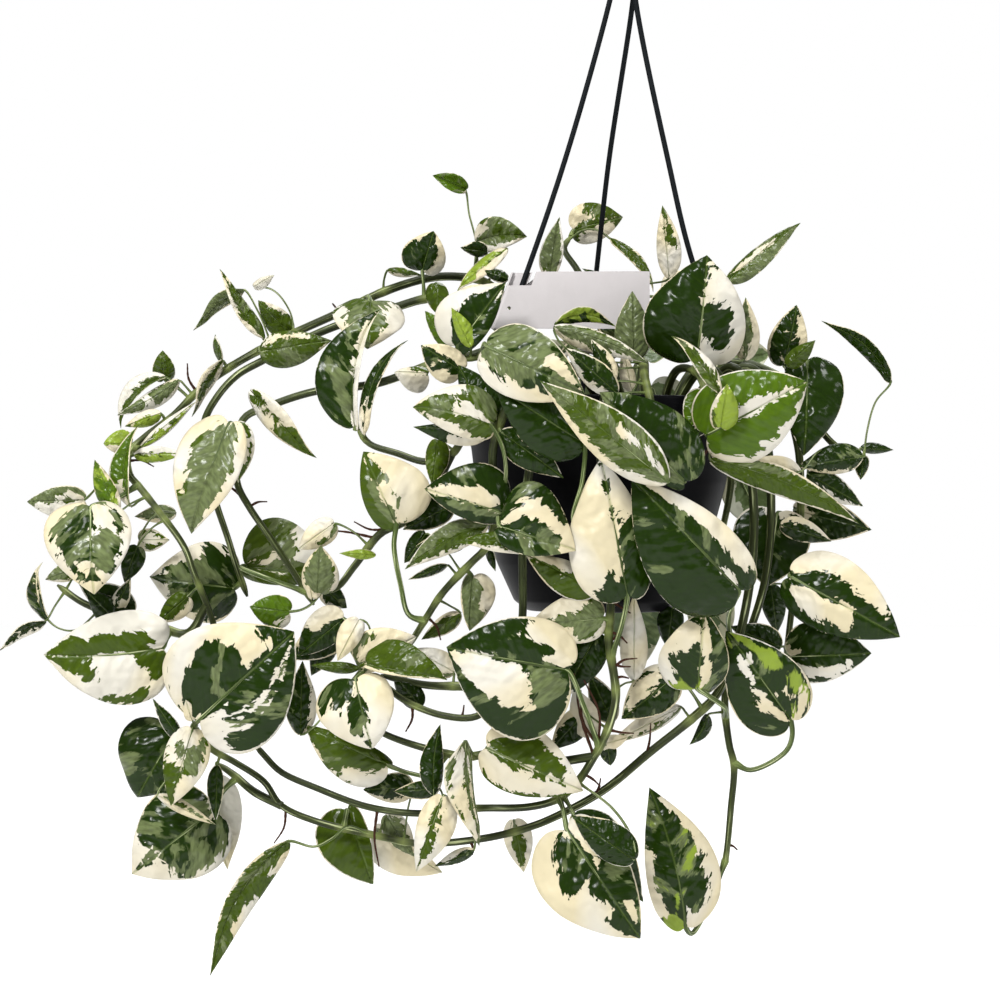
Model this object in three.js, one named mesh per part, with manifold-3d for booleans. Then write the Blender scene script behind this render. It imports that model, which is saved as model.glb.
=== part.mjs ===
// A variegated pothos in a black hanging pot: pot, soil, three rods, hook, label and leafy stems.
// Millimetres, +Z up. The origin is the bearing point inside the hook.
import * as THREE from 'three';
import { mergeVertices } from 'three/addons/utils/BufferGeometryUtils.js';
import Module from 'manifold-3d';

const wasm = await Module();
wasm.setup();

// Places on the plant are given as seen from the front: x to the right, z up, and y behind the
// plane of the pot's axis. The eye stands EYE_DISTANCE in front of that plane, facing EYE_X, EYE_Z.
const EYE_X = -80.4;
const EYE_Z = -384;
const EYE_DISTANCE = 1600;

// Pot and soil
const POT_X = -20;
const RIM_Z = -324;
const RIM_RADIUS = 86;
const POT_HEIGHT = 126;
const BASE_RADIUS = 44;
const POT_WALL = 2.4;
const RIM_LIP = 10;
const POT_SIDES = 32;
const DRAIN_RADIUS = 4;
const DRAIN_RING = 24;
const DRAIN_COUNT = 5;
const SOIL_DROP = 9;
const CLEARANCE = 0.3;
const STEM_HOLE_RADIUS = 4.6;
const STEM_HOLE_DEPTH = 24;
const STEM_HOLE_SIDES = 6;
const FOOT_BELOW = 8;
const FOOT_ABOVE = 6;

// Hanger
const HOOK_RADIUS = 11;
const HOOK_WIRE = 2;
const BOSS_X = -2;
const BOSS_TOP = -43;
const BOSS_BOTTOM = -57;
const BOSS_RADIUS = 9;
const ROD_RADIUS = 1.6;
const ROD_SIDES = 6;
const ROD_STEP = 22;
const ROD_TOP = -46;
const ROD_PLAY = 0.45;
const EAR_RING = 91;
const EAR_HOLE = 3.5;
const EAR_SIZE = 13;
const EAR_THICKNESS = 4;
const KNOB_RADIUS = 4.6;

// Label
const LABEL_TOP = -250.5;
const LABEL_HEIGHT = 33.5;
const LABEL_THICKNESS = 0.8;
const LABEL_RIGHT = 7;

// Stems, stalks, roots and blades
const STEM_RADIUS = 2.9;
const STEM_SIDES = 5;
const STEM_STEP = 24;
const STALK_HALF_WIDTH = 1.3;
const STALK_BEND_LENGTH = 24;
const STALK_RISE = 0.1;
const ROOT_RADIUS = 0.9;
const BLADE_THICKNESS = 0.9;

// Outlines of a blade by size: the longest blade it serves, its stations on the midrib between
// base and tip, an edge point beside the base if any, and the other edge points, each as
// [share of the length, share of the half width]
const OUTLINES = [
  { longest: 34, midrib: [0.38], shoulder: null, edge: [[0.38, 1]] },
  { longest: 62, midrib: [0.3, 0.68], shoulder: null, edge: [[0.24, 0.98], [0.66, 0.62]] },
  {
    longest: Infinity, midrib: [0.14, 0.42, 0.74], shoulder: [0, 0.5],
    edge: [[0.14, 0.94], [0.42, 0.95], [0.74, 0.5]],
  },
];

// Each stem: its name, the place of its hole in the soil (x, y), its route as seen (x, z, y),
// side shoots, short aerial roots, and leaves. A leaf is
// [base x, z, y, tip x, z, y, left width, right width, left depth, right depth, bend, arch]
// and may end in its stalk's route. Left and right are those of an eye looking from the front
// along the midrib from base to tip; depth is how far that edge lies behind the midrib; bend
// pushes the middle of the midrib to the left, and arch pushes it towards the eye.
const STEMS = [
  {
    name: 'stem_top',
    hole: [-58, 18],
    route: [
      [-62, -302, 22], [-72, -270, 24], [-90, -253, 24], [-106, -250, 22], [-124, -251, 20],
      [-150, -259, 16], [-165, -266, 14], [-182, -274, 12], [-202, -283, 10], [-230, -297, 8],
      [-248, -308, 6], [-262, -319, 2], [-277, -334, -6], [-293, -346, -14], [-303, -356, -20],
      [-303, -368, -26], [-296, -377, -30], [-285, -391, -34], [-270, -412, -38],
      [-264, -428, -40], [-253, -456, -42], [-250, -470, -38],
    ],
    shoots: [
      [[-256, -448, -41], [-268, -464, -36], [-290, -458, -34], [-310, -453, -30],
        [-330, -446, -28], [-346, -435, -26]],
      [[-303, -354, -18], [-290, -355, -16], [-277, -356, -14]],
    ],
    roots: [[[-262, -318, 2], [-268, -302, 0]], [[-177, -273, 12], [-181, -266, 10]]],
    leaves: [
      [-101, -198, 26, -121, -189, 22, 5, 6, -6, -4, 0, 2,
        [[-92, -251, 24], [-95, -228, 24], [-99, -212, 25]]],
      [-94, -229, 22, -64, -226, 14, 12, 9, -4, -2, 2, 3],
      [-76, -233, 14, -107, -258, 8, 5, 6, -4, 4, 0, 2],
      [-148, -246, 14, -127, -249, 8, 3, 3, 4, 4, 0, 1, [[-151, -259, 16], [-150, -252, 15]]],
      [-158, -265, -12, -160, -293, -38, 21, 22, 4, 4, 0, 5],
      [-224, -295, -16, -181, -288, -20, 10, 12, 3, 3, 0, 3],
      [-207, -284, 18, -226, -264, 14, 8, 8, 5, 2, 0, 2],
      [-222, -287, 6, -247, -245, 0, 4, 5, -5, 5, 3, 0],
      [-234, -258, 10, -262, -283, 2, 3, 5, 6, -4, -4, 0],
      [-247, -300, 0, -263, -334, -10, 3, 4, 6, -6, -3, 0],
      [-282, -312, 8, -283, -294, 2, 7, 7, 3, 3, 0, 2],
      [-281, -310, 1, -309, -341, 2, 4, 8, -6, 3, -7, 0],
      [-273, -312, -2, -311, -333, -8, 6, 5, 4, 4, 2, 2],
      [-302, -351, -18, -319, -350, -24, 6, 9, 2, 4, 0, 3],
      [-302, -388, -34, -297, -338, -30, 8, 4, 2, -6, 6, 2],
      [-310, -391, -42, -324, -359, -38, 8, 5, 4, 4, 0, 2],
      [-330, -384, -10, -365, -385, -16, 11, 9, 3, 3, 0, 3],
      [-326, -388, -48, -324, -441, -62, 23, 28, 6, 6, 0, 6,
        [[-299, -376, -28], [-312, -384, -38]]],
      [-275, -392, -12, -300, -394, -16, 5, 6, 2, 2, 0, 1],
      [-297, -408, -14, -279, -408, -20, 7, 7, 2, 2, 0, 1],
      [-312, -451, -38, -302, -431, -42, 5, 5, 3, 3, 0, 1],
      [-300, -451, -26, -334, -434, -22, 10, 10, 2, 2, 0, 2],
      [-352, -456, -26, -357, -421, -30, 7, 3, 4, -3, 4, 0,
        [[-322, -452, -30], [-335, -462, -30], [-345, -461, -27]]],
      [-353, -457, -27, -380, -475, -34, 4, 3, 4, -4, -3, 0],
      [-283, -473, -44, -355, -477, -56, 30, 25, 4, 4, 2, 6],
    ],
  },
  {
    name: 'stem_upper',
    hole: [-58, -2],
    route: [
      [-64, -302, -2], [-84, -279, 0], [-105, -266, 2], [-122, -263, 2], [-145, -269, 0],
      [-177, -279, -3], [-194, -286, -4], [-224, -301, -7], [-238, -309, -9], [-250, -322, -11],
      [-258, -338, -12], [-257, -360, -10], [-251, -385, -8], [-244, -406, -6], [-238, -425, -4],
      [-232, -442, -4],
    ],
    shoots: [],
    roots: [[[-250, -383, -8], [-262, -384, -6]]],
    leaves: [
      [-127, -246, 2, -120, -222, -4, 15, 12, 4, 6, 0, 3],
      [-120, -254, -6, -114, -276, -12, 7, 7, 4, 4, 0, 2],
      [-240, -437, 4, -291, -430, -6, 23, 26, 4, 4, 0, 5],
    ],
  },
  {
    name: 'stem_side',
    hole: [-52, -20],
    route: [
      [-60, -302, -24], [-80, -293, -28], [-100, -298, -28], [-122, -303, -28],
      [-154, -314, -26], [-192, -319, -26], [-217, -327, -28], [-234, -335, -30],
      [-238, -350, -32], [-238, -374, -34], [-231, -388, -35], [-218, -407, -36],
      [-200, -434, -36], [-192, -447, -36],
    ],
    shoots: [],
    roots: [[[-229, -387, -35], [-220, -385, -35]], [[-236, -383, -34], [-249, -372, -30]]],
    leaves: [
      [-124, -308, -40, -144, -307, -46, 12, 4, 3, 5, 0, 2],
      [-230, -318, -32, -192, -360, -40, 7, 8, -4, 4, 0, 2],
      [-240, -338, -42, -238, -374, -42, 12, 4, 2, 2, 0, 1],
      [-243, -338, -52, -267, -405, -62, 16, 24, -4, 6, 0, 8],
      [-233, -424, -20, -178, -430, -18, 31, 9, 6, 2, 0, 4,
        [[-197, -438, -36], [-220, -431, -38], [-235, -425, -33]]],
    ],
  },
  {
    name: 'stem_left',
    hole: [-44, -46],
    route: [
      [-54, -308, -70], [-80, -318, -84], [-100, -343, -78], [-110, -357, -70],
      [-125, -361, -66], [-142, -356, -62], [-159, -350, -58], [-166, -341, -56],
    ],
    shoots: [
      [[-110, -357, -70], [-122, -380, -62], [-138, -397, -58], [-152, -404, -56],
        [-168, -424, -56], [-179, -437, -56], [-190, -438, -57]],
    ],
    roots: [[[-150, -400, -57], [-168, -397, -56]], [[-168, -397, -56], [-190, -402, -56]]],
    leaves: [
      [-167, -340, -56, -153, -268, -50, 22, 4, 4, -4, 7, 2],
      [-162, -345, -62, -137, -287, -70, 5, 4, 4, -3, 7, 0],
      [-118, -348, -76, -121, -376, -80, 8, 6, 3, 3, 0, 1],
      [-190, -439, -62, -188, -411, -68, 10, 12, 4, 4, 0, 3],
      [-193, -443, -60, -196, -425, -64, 3, 6, 2, 2, 0, 1],
      [-186, -437, -52, -172, -449, -46, 6, 7, 2, 2, 0, 1],
    ],
  },
  {
    name: 'stem_left_low',
    hole: [-34, -57],
    route: [
      [-52, -306, -84], [-72, -322, -98], [-84, -350, -94], [-84, -378, -86],
      [-84, -400, -80], [-89, -413, -78], [-97, -421, -76], [-115, -440, -72],
      [-126, -457, -68], [-133, -468, -62], [-141, -478, -54],
    ],
    shoots: [],
    roots: [[[-124, -454, -69], [-116, -468, -66]]],
    leaves: [
      [-86, -339, -104, -134, -328, -100, 12, 18, 4, 6, -2, 4,
        [[-84, -390, -83], [-77, -372, -96], [-79, -352, -104]]],
      [-86, -343, -96, -133, -340, -92, 9, 4, 4, 2, 0, 2],
      [-87, -338, -96, -106, -302, -88, 8, 13, 4, 6, 0, 3],
      [-80, -343, -101, -42, -371, -103, 10, 10, 2, 2, 0, 1],
      [-80, -400, -108, -34, -414, -112, 29, 11, 8, -4, 0, 4],
      [-46, -409, -104, -108, -408, -104, 7, 7, -3, 3, 0, 2,
        [[-84, -403, -80], [-72, -404, -96], [-58, -406, -97], [-49, -408, -98]]],
      [-80, -391, -99, -127, -377, -93, 10, 24, 4, 6, 0, 4],
      [-88, -399, -88, -138, -426, -80, 8, 9, 3, 3, -3, 1],
      [-100, -404, -76, -132, -412, -68, 9, 5, 3, 3, 0, 2],
      [-143, -398, -74, -163, -354, -68, 12, 27, 3, 5, 0, 4,
        [[-126, -457, -68], [-135, -453, -70], [-140, -435, -72], [-144, -412, -73]]],
      [-97, -430, -70, -99, -463, -74, 14, 6, 4, 4, 0, 2],
      [-104, -452, -62, -128, -468, -58, 6, 5, 3, 3, 0, 1],
    ],
  },
  {
    name: 'stem_crown_left',
    hole: [-40, -32],
    route: [[-52, -303, -52], [-74, -296, -66], [-92, -298, -72], [-104, -300, -72]],
    shoots: [],
    roots: [],
    leaves: [
      [-88, -292, -114, -28, -322, -126, 21, 20, 6, 6, 0, 6],
      [-106, -292, -74, -77, -253, -70, 23, 9, 6, -4, 0, 4],
      [-112, -292, -58, -126, -270, -54, 4, 8, 3, 3, 0, 2],
      [-98, -292, -80, -110, -268, -78, 4, 6, 3, 3, 0, 1],
      [-104, -306, -76, -128, -291, -78, 12, 9, 3, 3, 0, 2],
    ],
  },
  {
    name: 'stem_inner',
    hole: [-24, -62],
    route: [
      [-40, -304, -92], [-54, -325, -98], [-60, -350, -94], [-66, -390, -90],
      [-67, -415, -88], [-67, -455, -86], [-72, -485, -82], [-84, -505, -78],
      [-95, -514, -75], [-116, -513, -71], [-138, -504, -68], [-150, -495, -66],
      [-164, -486, -65],
    ],
    shoots: [],
    roots: [[[-133, -506, -68], [-137, -523, -66]]],
    leaves: [
      [-164, -482, -70, -130, -466, -74, 16, 8, 3, 3, 0, 3],
      [-160, -483, -78, -112, -491, -90, 17, 3, 5, -3, 0, 2],
      [-165, -485, -70, -195, -483, -66, 4, 3, 3, 3, 0, 1],
      [-167, -492, -82, -157, -535, -92, 19, 26, 5, 6, 0, 6],
      [-174, -455, -58, -202, -478, -52, 8, 14, 3, 3, 0, 2,
        [[-164, -486, -65], [-167, -470, -60]]],
      [-165, -456, -76, -178, -481, -78, 6, 8, 3, 3, 0, 1,
        [[-158, -490, -65], [-157, -472, -68], [-160, -458, -73]]],
      [-182, -464, -48, -194, -490, -42, 8, 7, 3, 3, 0, 1, [[-164, -486, -65], [-172, -472, -54]]],
    ],
  },
  {
    name: 'stem_centre',
    hole: [-10, -62],
    route: [
      [-16, -306, -92], [-18, -325, -102], [-20, -350, -100], [-18, -380, -96],
      [-15, -420, -94], [-14, -445, -94], [-15, -468, -94], [-11, -504, -92],
      [-18, -527, -88], [-24, -538, -85], [-33, -552, -81], [-45, -563, -77],
      [-62, -568, -73], [-95, -569, -66], [-130, -572, -60], [-160, -568, -56],
      [-190, -557, -52], [-212, -547, -50], [-222, -537, -48], [-228, -530, -46],
    ],
    shoots: [
      [[-24, -538, -85], [-50, -541, -76], [-85, -536, -72], [-100, -538, -70],
        [-125, -533, -67], [-146, -526, -64], [-158, -520, -60]],
    ],
    roots: [
      [[-24, -530, -86], [-32, -498, -92]], [[-15, -522, -88], [0, -524, -92]],
      [[-155, -569, -56], [-153, -604, -60]],
    ],
    leaves: [
      [-30, -350, -110, -84, -316, -113, 19, 10, 4, 4, 0, 4,
        [[-16, -408, -95], [-36, -398, -104], [-31, -372, -108]]],
      [-4, -441, -108, -20, -357, -106, 28, 18, 6, 4, 0, 5,
        [[-14, -478, -93], [-7, -458, -100]]],
      [-22, -438, -102, -66, -416, -98, 12, 8, 4, 3, 0, 3],
      [-19, -455, -98, -64, -459, -100, 13, 15, 4, 4, 0, 4],
      [-22, -464, -90, -44, -504, -86, 12, 13, 3, 3, 0, 3],
      [0, -492, -74, 0, -440, -82, 8, 8, 3, 3, 0, 2],
      [-40, -486, -106, -114, -472, -104, 44, 26, 6, 6, 0, 8,
        [[-25, -530, -86], [-30, -508, -96]]],
      [-88, -533, -86, -30, -559, -96, 22, 18, 5, 4, 0, 4],
      [-120, -561, -80, -116, -518, -76, 8, 6, 3, 3, 2, 2],
      [-101, -529, -90, -90, -592, -84, 3, 13, 4, -5, -3, 1],
      [-115, -562, -92, -131, -608, -96, 13, 9, 4, 3, 0, 3],
      [-96, -594, -80, -120, -604, -76, 4, 4, 3, 3, 0, 1],
      [-117, -557, -76, -145, -559, -72, 6, 5, 3, 3, 0, 1],
      [-148, -543, -60, -199, -518, -52, 20, 6, 5, 3, 0, 4,
        [[-112, -536, -69], [-122, -549, -68], [-134, -548, -64]]],
      [-36, -573, -90, 6, -626, -82, 17, 10, 4, 4, 0, 4],
      [-40, -582, -96, 5, -649, -106, 20, 33, 5, 6, 0, 7],
    ],
  },
  {
    name: 'stem_outer',
    hole: [24, -50],
    route: [
      [44, -304, -66], [60, -325, -72], [68, -350, -70], [71, -375, -66], [72, -395, -64],
      [70, -430, -64], [62, -470, -64], [50, -500, -64], [35, -515, -64], [10, -535, -62],
      [-18, -558, -58], [-45, -573, -54], [-62, -580, -52], [-90, -587, -50],
      [-130, -590, -46], [-156, -585, -44], [-190, -577, -42], [-212, -567, -42],
      [-222, -553, -42], [-240, -541, -44], [-254, -533, -48], [-264, -520, -54],
    ],
    shoots: [[[-212, -567, -42], [-228, -559, -38], [-240, -549, -34], [-250, -542, -32]]],
    roots: [
      [[-210, -570, -42], [-216, -590, -44]], [[8, -537, -62], [10, -518, -66]],
    ],
    leaves: [
      [63, -438, -108, -2, -370, -118, 34, 20, 6, 5, 0, 7,
        [[60, -474, -64], [57, -461, -69], [57, -452, -84], [60, -445, -100]]],
      [24, -490, -74, -8, -516, -70, 13, 14, 3, 3, 0, 2],
      [28, -508, -58, -16, -531, -60, 6, 6, 3, 3, 0, 1],
      [-172, -570, -30, -156, -616, -32, 8, 24, 3, 5, 0, 4],
      [-154, -582, -28, -114, -608, -26, 6, 18, 3, 4, 0, 2],
      [-72, -576, -38, -66, -608, -36, 9, 8, 3, 3, 0, 1],
      [-208, -589, -42, -252, -671, -52, 12, 6, 4, -4, -10, 2,
        [[-158, -585, -44], [-172, -580, -50], [-181, -587, -50], [-192, -592, -46]]],
      [-261, -516, -72, -203, -462, -70, 42, 36, 6, 6, 0, 8],
      [-276, -524, -36, -299, -564, -32, 20, 27, 5, 6, 0, 5],
      [-265, -522, -60, -278, -568, -66, 14, 12, 4, 4, 0, 4],
      [-286, -561, -58, -251, -579, -60, 4, 4, 3, 3, 0, 1],
      [-250, -543, -46, -251, -578, -48, 4, 6, 3, 3, 0, 1],
      [-254, -571, -34, -302, -609, -40, 28, 28, 6, 6, 0, 6],
      [-272, -528, -58, -289, -503, -60, 5, 4, 3, 3, 0, 1],
    ],
  },
  {
    name: 'stem_right_long',
    hole: [38, -34],
    route: [
      [58, -304, -46], [74, -325, -52], [80, -350, -50], [82, -375, -48], [82, -400, -46],
      [78, -435, -48], [66, -472, -50], [55, -498, -52], [57, -530, -54], [60, -543, -54],
      [58, -570, -52], [56, -592, -52], [54, -606, -52],
    ],
    shoots: [],
    roots: [],
    leaves: [
      [94, -516, -66, 55, -462, -78, 24, 22, 5, 5, 0, 6,
        [[60, -543, -54], [70, -546, -58], [91, -535, -62], [95, -525, -64]]],
      [38, -497, -86, 42, -449, -94, 23, 17, 5, 5, 0, 5,
        [[56, -514, -53], [54, -508, -74], [44, -501, -84]]],
      [31, -640, -64, 9, -556, -60, 18, 25, 5, 5, -3, 6,
        [[55, -600, -52], [46, -624, -50], [35, -644, -55]]],
    ],
  },
  {
    name: 'stem_right',
    hole: [46, -6],
    route: [
      [66, -304, -10], [88, -322, -14], [98, -350, -16], [100, -385, -18], [98, -420, -22],
      [94, -455, -26], [91, -480, -30],
    ],
    shoots: [],
    roots: [],
    leaves: [
      [86, -392, -34, 79, -437, -38, 22, 24, 4, 5, 0, 4],
      [88, -399, -44, 119, -409, -40, 8, 6, 3, 3, 0, 2],
      [96, -390, -6, 143, -402, -16, 12, 14, 3, 4, 0, 3],
      [94, -430, -56, 161, -467, -66, 25, 20, 5, 5, 0, 6],
      [94, -478, -46, 143, -476, -52, 20, 16, 4, 4, 0, 4],
      [88, -472, -54, 58, -460, -57, 8, 9, 1, 1, 0, 0],
    ],
  },
  {
    name: 'stem_crown_right',
    hole: [16, -38],
    route: [[26, -306, -58], [38, -308, -76], [45, -326, -86], [46, -348, -88]],
    shoots: [],
    roots: [],
    leaves: [
      [38, -299, -78, 44, -236, -84, 33, 26, 6, 6, 0, 8],
      [52, -320, -116, 23, -284, -112, 5, 5, -3, 3, -2, 2],
      [52, -340, -114, 56, -314, -120, 7, 9, 3, 3, 0, 2],
      [44, -345, -100, 106, -312, -106, 26, 26, 6, 6, 0, 6],
      [42, -320, -74, 32, -342, -80, 6, 9, 3, 3, 0, 2],
      [66, -300, -60, 67, -262, -58, 6, 9, 3, 3, 0, 2],
      [55, -253, -46, 100, -216, -34, 5, 8, 4, -3, 0, 2,
        [[36, -307, -74], [47, -285, -64], [53, -265, -50]]],
      [46, -360, -98, 137, -399, -84, 8, 9, 4, 4, 5, 4],
    ],
  },
  {
    name: 'stem_crown_far',
    hole: [36, 8],
    route: [
      [58, -302, 2], [84, -308, -6], [102, -322, -14], [112, -342, -22], [126, -355, -28],
      [138, -357, -30],
    ],
    shoots: [],
    roots: [],
    leaves: [
      [90, -303, -34, 98, -266, -38, 12, 11, 4, 4, 0, 3],
      [104, -300, -34, 102, -358, -46, 22, 14, 4, 4, 0, 5],
      [137, -358, -36, 98, -364, -44, 8, 10, 3, 3, 0, 2],
      [154, -313, -24, 112, -278, -20, 5, 4, 4, -3, -7, 1,
        [[137, -356, -30], [140, -342, -28], [145, -325, -26]]],
      [100, -367, -58, 66, -361, -62, 3, 7, 3, 3, 0, 1],
    ],
  },
  {
    name: 'stem_crown_front',
    hole: [4, -56],
    route: [
      [6, -302, -70], [6, -308, -92], [10, -325, -106], [16, -350, -108], [22, -372, -108],
    ],
    shoots: [],
    roots: [],
    leaves: [
      [20, -373, -132, -57, -312, -138, 14, 15, 5, 4, 0, 6],
      [30, -373, -118, -22, -318, -122, 10, 25, 4, 6, 0, 6],
      [-47, -278, -90, -11, -281, -82, 5, 4, -3, 4, 6, 3,
        [[4, -302, -78], [-20, -300, -92], [-42, -288, -92]]],
      [-48, -280, -94, 10, -302, -98, 5, 8, 4, 4, 2, 4,
        [[4, -304, -84], [-20, -304, -99], [-44, -290, -97]]],
      [0, -300, -66, -1, -258, -62, 11, 10, 4, 4, 0, 3],
      [-1, -319, -88, -7, -294, -84, 5, 4, 3, 3, 0, 1],
      [-12, -312, -104, -26, -287, -103, 5, 6, 3, 3, 0, 1],
      [-10, -320, -110, -42, -292, -109, 8, 8, 3, 3, 0, 1],
    ],
  },
  {
    name: 'stem_crown_back',
    hole: [-16, 38],
    route: [
      [-18, -302, 42], [-22, -270, 50], [-34, -246, 58], [-42, -233, 62], [-38, -226, 66],
    ],
    shoots: [],
    roots: [],
    leaves: [
      [-36, -222, 70, -6, -214, 74, 15, 11, 4, 4, 0, 3],
      [-51, -252, 22, -45, -214, 16, 8, 6, 3, -5, 0, 2],
      [-14, -227, 62, 13, -258, 40, 4, 4, 4, -4, 4, 1,
        [[-38, -228, 65], [-30, -222, 66], [-22, -222, 65]]],
      [21, -251, 8, 17, -206, 10, 6, 9, 2, 2, 0, 2],
      [20, -262, 60, 46, -252, 78, 14, 14, 4, 4, 0, 4],
      [-40, -270, 60, -62, -262, 84, 12, 12, 4, 4, 0, 3],
    ],
  },
  {
    name: 'stem_middle',
    hole: [-12, 2],
    route: [[-14, -306, 2], [-13, -294, 1], [-8, -286, -3]],
    shoots: [],
    roots: [],
    leaves: [
      [-18, -294, 6, -48, -300, 20, 4, 4, -15, 15, -4, 0],
      [-12, -292, 12, -12, -298, 44, 15, 15, 2, 2, 0, 0],
      [-4, -292, 8, 26, -298, 26, 4, 4, 15, -15, 4, 0],
      [-2, -290, -8, 28, -298, -20, 4, 4, 14, -14, 4, 0],
      [-18, -290, -6, -46, -298, -16, 4, 4, -14, 14, -4, 0],
      [-8, -284, 2, -16, -260, 10, 12, 12, 3, 3, 0, 2],
    ],
  },
  {
    name: 'stem_back_left',
    hole: [-46, 44],
    route: [
      [-56, -304, 60], [-72, -312, 82], [-78, -340, 92], [-76, -375, 92], [-72, -400, 88],
    ],
    shoots: [],
    roots: [],
    leaves: [
      [-66, -296, 86, -92, -300, 118, 18, 18, -4, -4, 0, -4],
      [-84, -322, 98, -96, -356, 108, 17, 17, -4, -4, 0, -4],
      [-66, -340, 104, -48, -382, 118, 20, 20, -4, -4, 0, -5],
      [-78, -366, 100, -96, -402, 96, 14, 14, -4, -4, 0, -4],
      [-72, -398, 92, -60, -440, 98, 16, 18, -4, -4, 0, -4],
      [-58, -304, 70, -40, -290, 108, 15, 15, -4, -4, 0, -4],
    ],
  },
  {
    name: 'stem_back_middle',
    hole: [2, 58],
    route: [
      [2, -304, 76], [2, -314, 98], [0, -345, 108], [-2, -380, 106], [-4, -415, 98],
      [-6, -445, 92],
    ],
    shoots: [],
    roots: [],
    leaves: [
      [-8, -306, 104, -30, -340, 126, 20, 20, -4, -4, 0, -5],
      [10, -316, 112, 30, -352, 124, 19, 19, -4, -4, 0, -5],
      [-10, -352, 120, -34, -392, 124, 19, 19, -4, -4, 0, -5],
      [8, -376, 118, 28, -418, 120, 21, 21, -4, -4, 0, -5],
      [-12, -408, 110, -30, -448, 108, 18, 18, -4, -4, 0, -4],
      [0, -442, 98, 4, -486, 96, 17, 17, -4, -4, 0, -4],
      [4, -298, 92, 8, -282, 124, 16, 16, -4, -4, 0, -4],
    ],
  },
  {
    name: 'stem_back_right',
    hole: [26, 42],
    route: [
      [38, -304, 54], [52, -312, 70], [58, -340, 78], [58, -375, 78], [50, -415, 74],
      [44, -440, 70],
    ],
    shoots: [],
    roots: [],
    leaves: [
      [50, -300, 64, 82, -296, 84, 16, 16, -4, -4, 0, -4],
      [64, -318, 80, 84, -350, 92, 17, 17, -4, -4, 0, -4],
      [52, -340, 92, 36, -380, 106, 17, 17, -4, -4, 0, -4],
      [62, -368, 84, 80, -404, 84, 16, 16, -4, -4, 0, -4],
      [50, -404, 84, 34, -444, 90, 17, 17, -4, -4, 0, -4],
      [44, -438, 72, 50, -478, 70, 15, 15, -4, -4, 0, -4],
    ],
  },
];

// The rods: the angle of each one's ear round the rim and its route as seen, from the top
const RODS = [
  {
    name: 'rod_left',
    angle: 216,
    route: [[-6.5, -48, 0], [-14.4, -84, -6], [-41.4, -180, -23], [-68.4, -258.6, -38]],
  },
  {
    name: 'rod_right',
    angle: 336,
    route: [[-2.5, -48, -5], [0.9, -84, -8], [20.4, -180, -19], [34.8, -240, -27]],
  },
  {
    name: 'rod_back',
    angle: 96,
    route: [[2.5, -48, 4], [-0.6, -84, 15], [-15, -180, 46], [-22.8, -249, 67]],
  },
];

function seen(x, z, y) {
  const spread = 1 + y / EYE_DISTANCE;
  return new THREE.Vector3(EYE_X + (x - EYE_X) * spread, y, EYE_Z + (z - EYE_Z) * spread);
}

function solidOf(geometry) {
  const bare = geometry.clone();
  bare.deleteAttribute('normal');
  bare.deleteAttribute('uv');
  const merged = mergeVertices(bare, 1e-4);
  return new wasm.Manifold(new wasm.Mesh({
    numProp: 3,
    vertProperties: Float32Array.from(merged.attributes.position.array),
    triVerts: Uint32Array.from(merged.index.array),
  }));
}

function geometryOf(solid) {
  const mesh = solid.getMesh();
  const geometry = new THREE.BufferGeometry();
  geometry.setAttribute('position', new THREE.BufferAttribute(Float32Array.from(mesh.vertProperties), 3));
  geometry.setIndex(Array.from(mesh.triVerts));
  return geometry;
}

function joined(solids) {
  return wasm.Manifold.union(solids);
}

function polygonShape(sides, radius) {
  const shape = new THREE.Shape();
  for (let i = 0; i < sides; i += 1) {
    const angle = (2 * Math.PI * i) / sides;
    const x = radius * Math.cos(angle);
    const y = radius * Math.sin(angle);
    if (i === 0) shape.moveTo(x, y);
    else shape.lineTo(x, y);
  }
  shape.closePath();
  return shape;
}

function smooth(points) {
  return new THREE.CatmullRomCurve3(points, false, 'centripetal');
}

function stepsFor(curve, step) {
  return Math.max(2, Math.round(curve.getLength() / step));
}

function tube(points, radius, sides, step) {
  const curve = smooth(points);
  const geometry = new THREE.ExtrudeGeometry(polygonShape(sides, radius), {
    steps: stepsFor(curve, step),
    bevelEnabled: false,
    extrudePath: curve,
  });
  return solidOf(geometry);
}

// The straight pieces of a tube's centreline
function centreline(points, step) {
  const curve = smooth(points);
  const spaced = curve.getSpacedPoints(stepsFor(curve, step));
  return spaced.slice(1).map((p, i) => new THREE.Line3(spaced[i], p));
}

// The midrib of a leaf as a function of the share of its length, and the side vectors of its edges
function midribOf(leaf) {
  const [bx, bz, by, tx, tz, ty, left, right, leftDepth, rightDepth, bend, arch] = leaf;
  const base = seen(bx, bz, by);
  const axis = seen(tx, tz, ty).sub(base);
  const flat = Math.hypot(tx - bx, tz - bz);
  const across = new THREE.Vector3(-(tz - bz) / flat, 0, (tx - bx) / flat);
  const back = new THREE.Vector3(0, 1, 0);
  const bow = across.clone().multiplyScalar(bend).addScaledVector(back, -arch);
  return {
    leftSide: across.clone().multiplyScalar(left).addScaledVector(back, leftDepth),
    rightSide: across.clone().multiplyScalar(-right).addScaledVector(back, rightDepth),
    at: (t) => base.clone().addScaledVector(axis, t).addScaledVector(bow, 4 * t * (1 - t)),
    along: (t) => axis.clone().addScaledVector(bow, 4 * (1 - 2 * t)).normalize(),
  };
}

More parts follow.
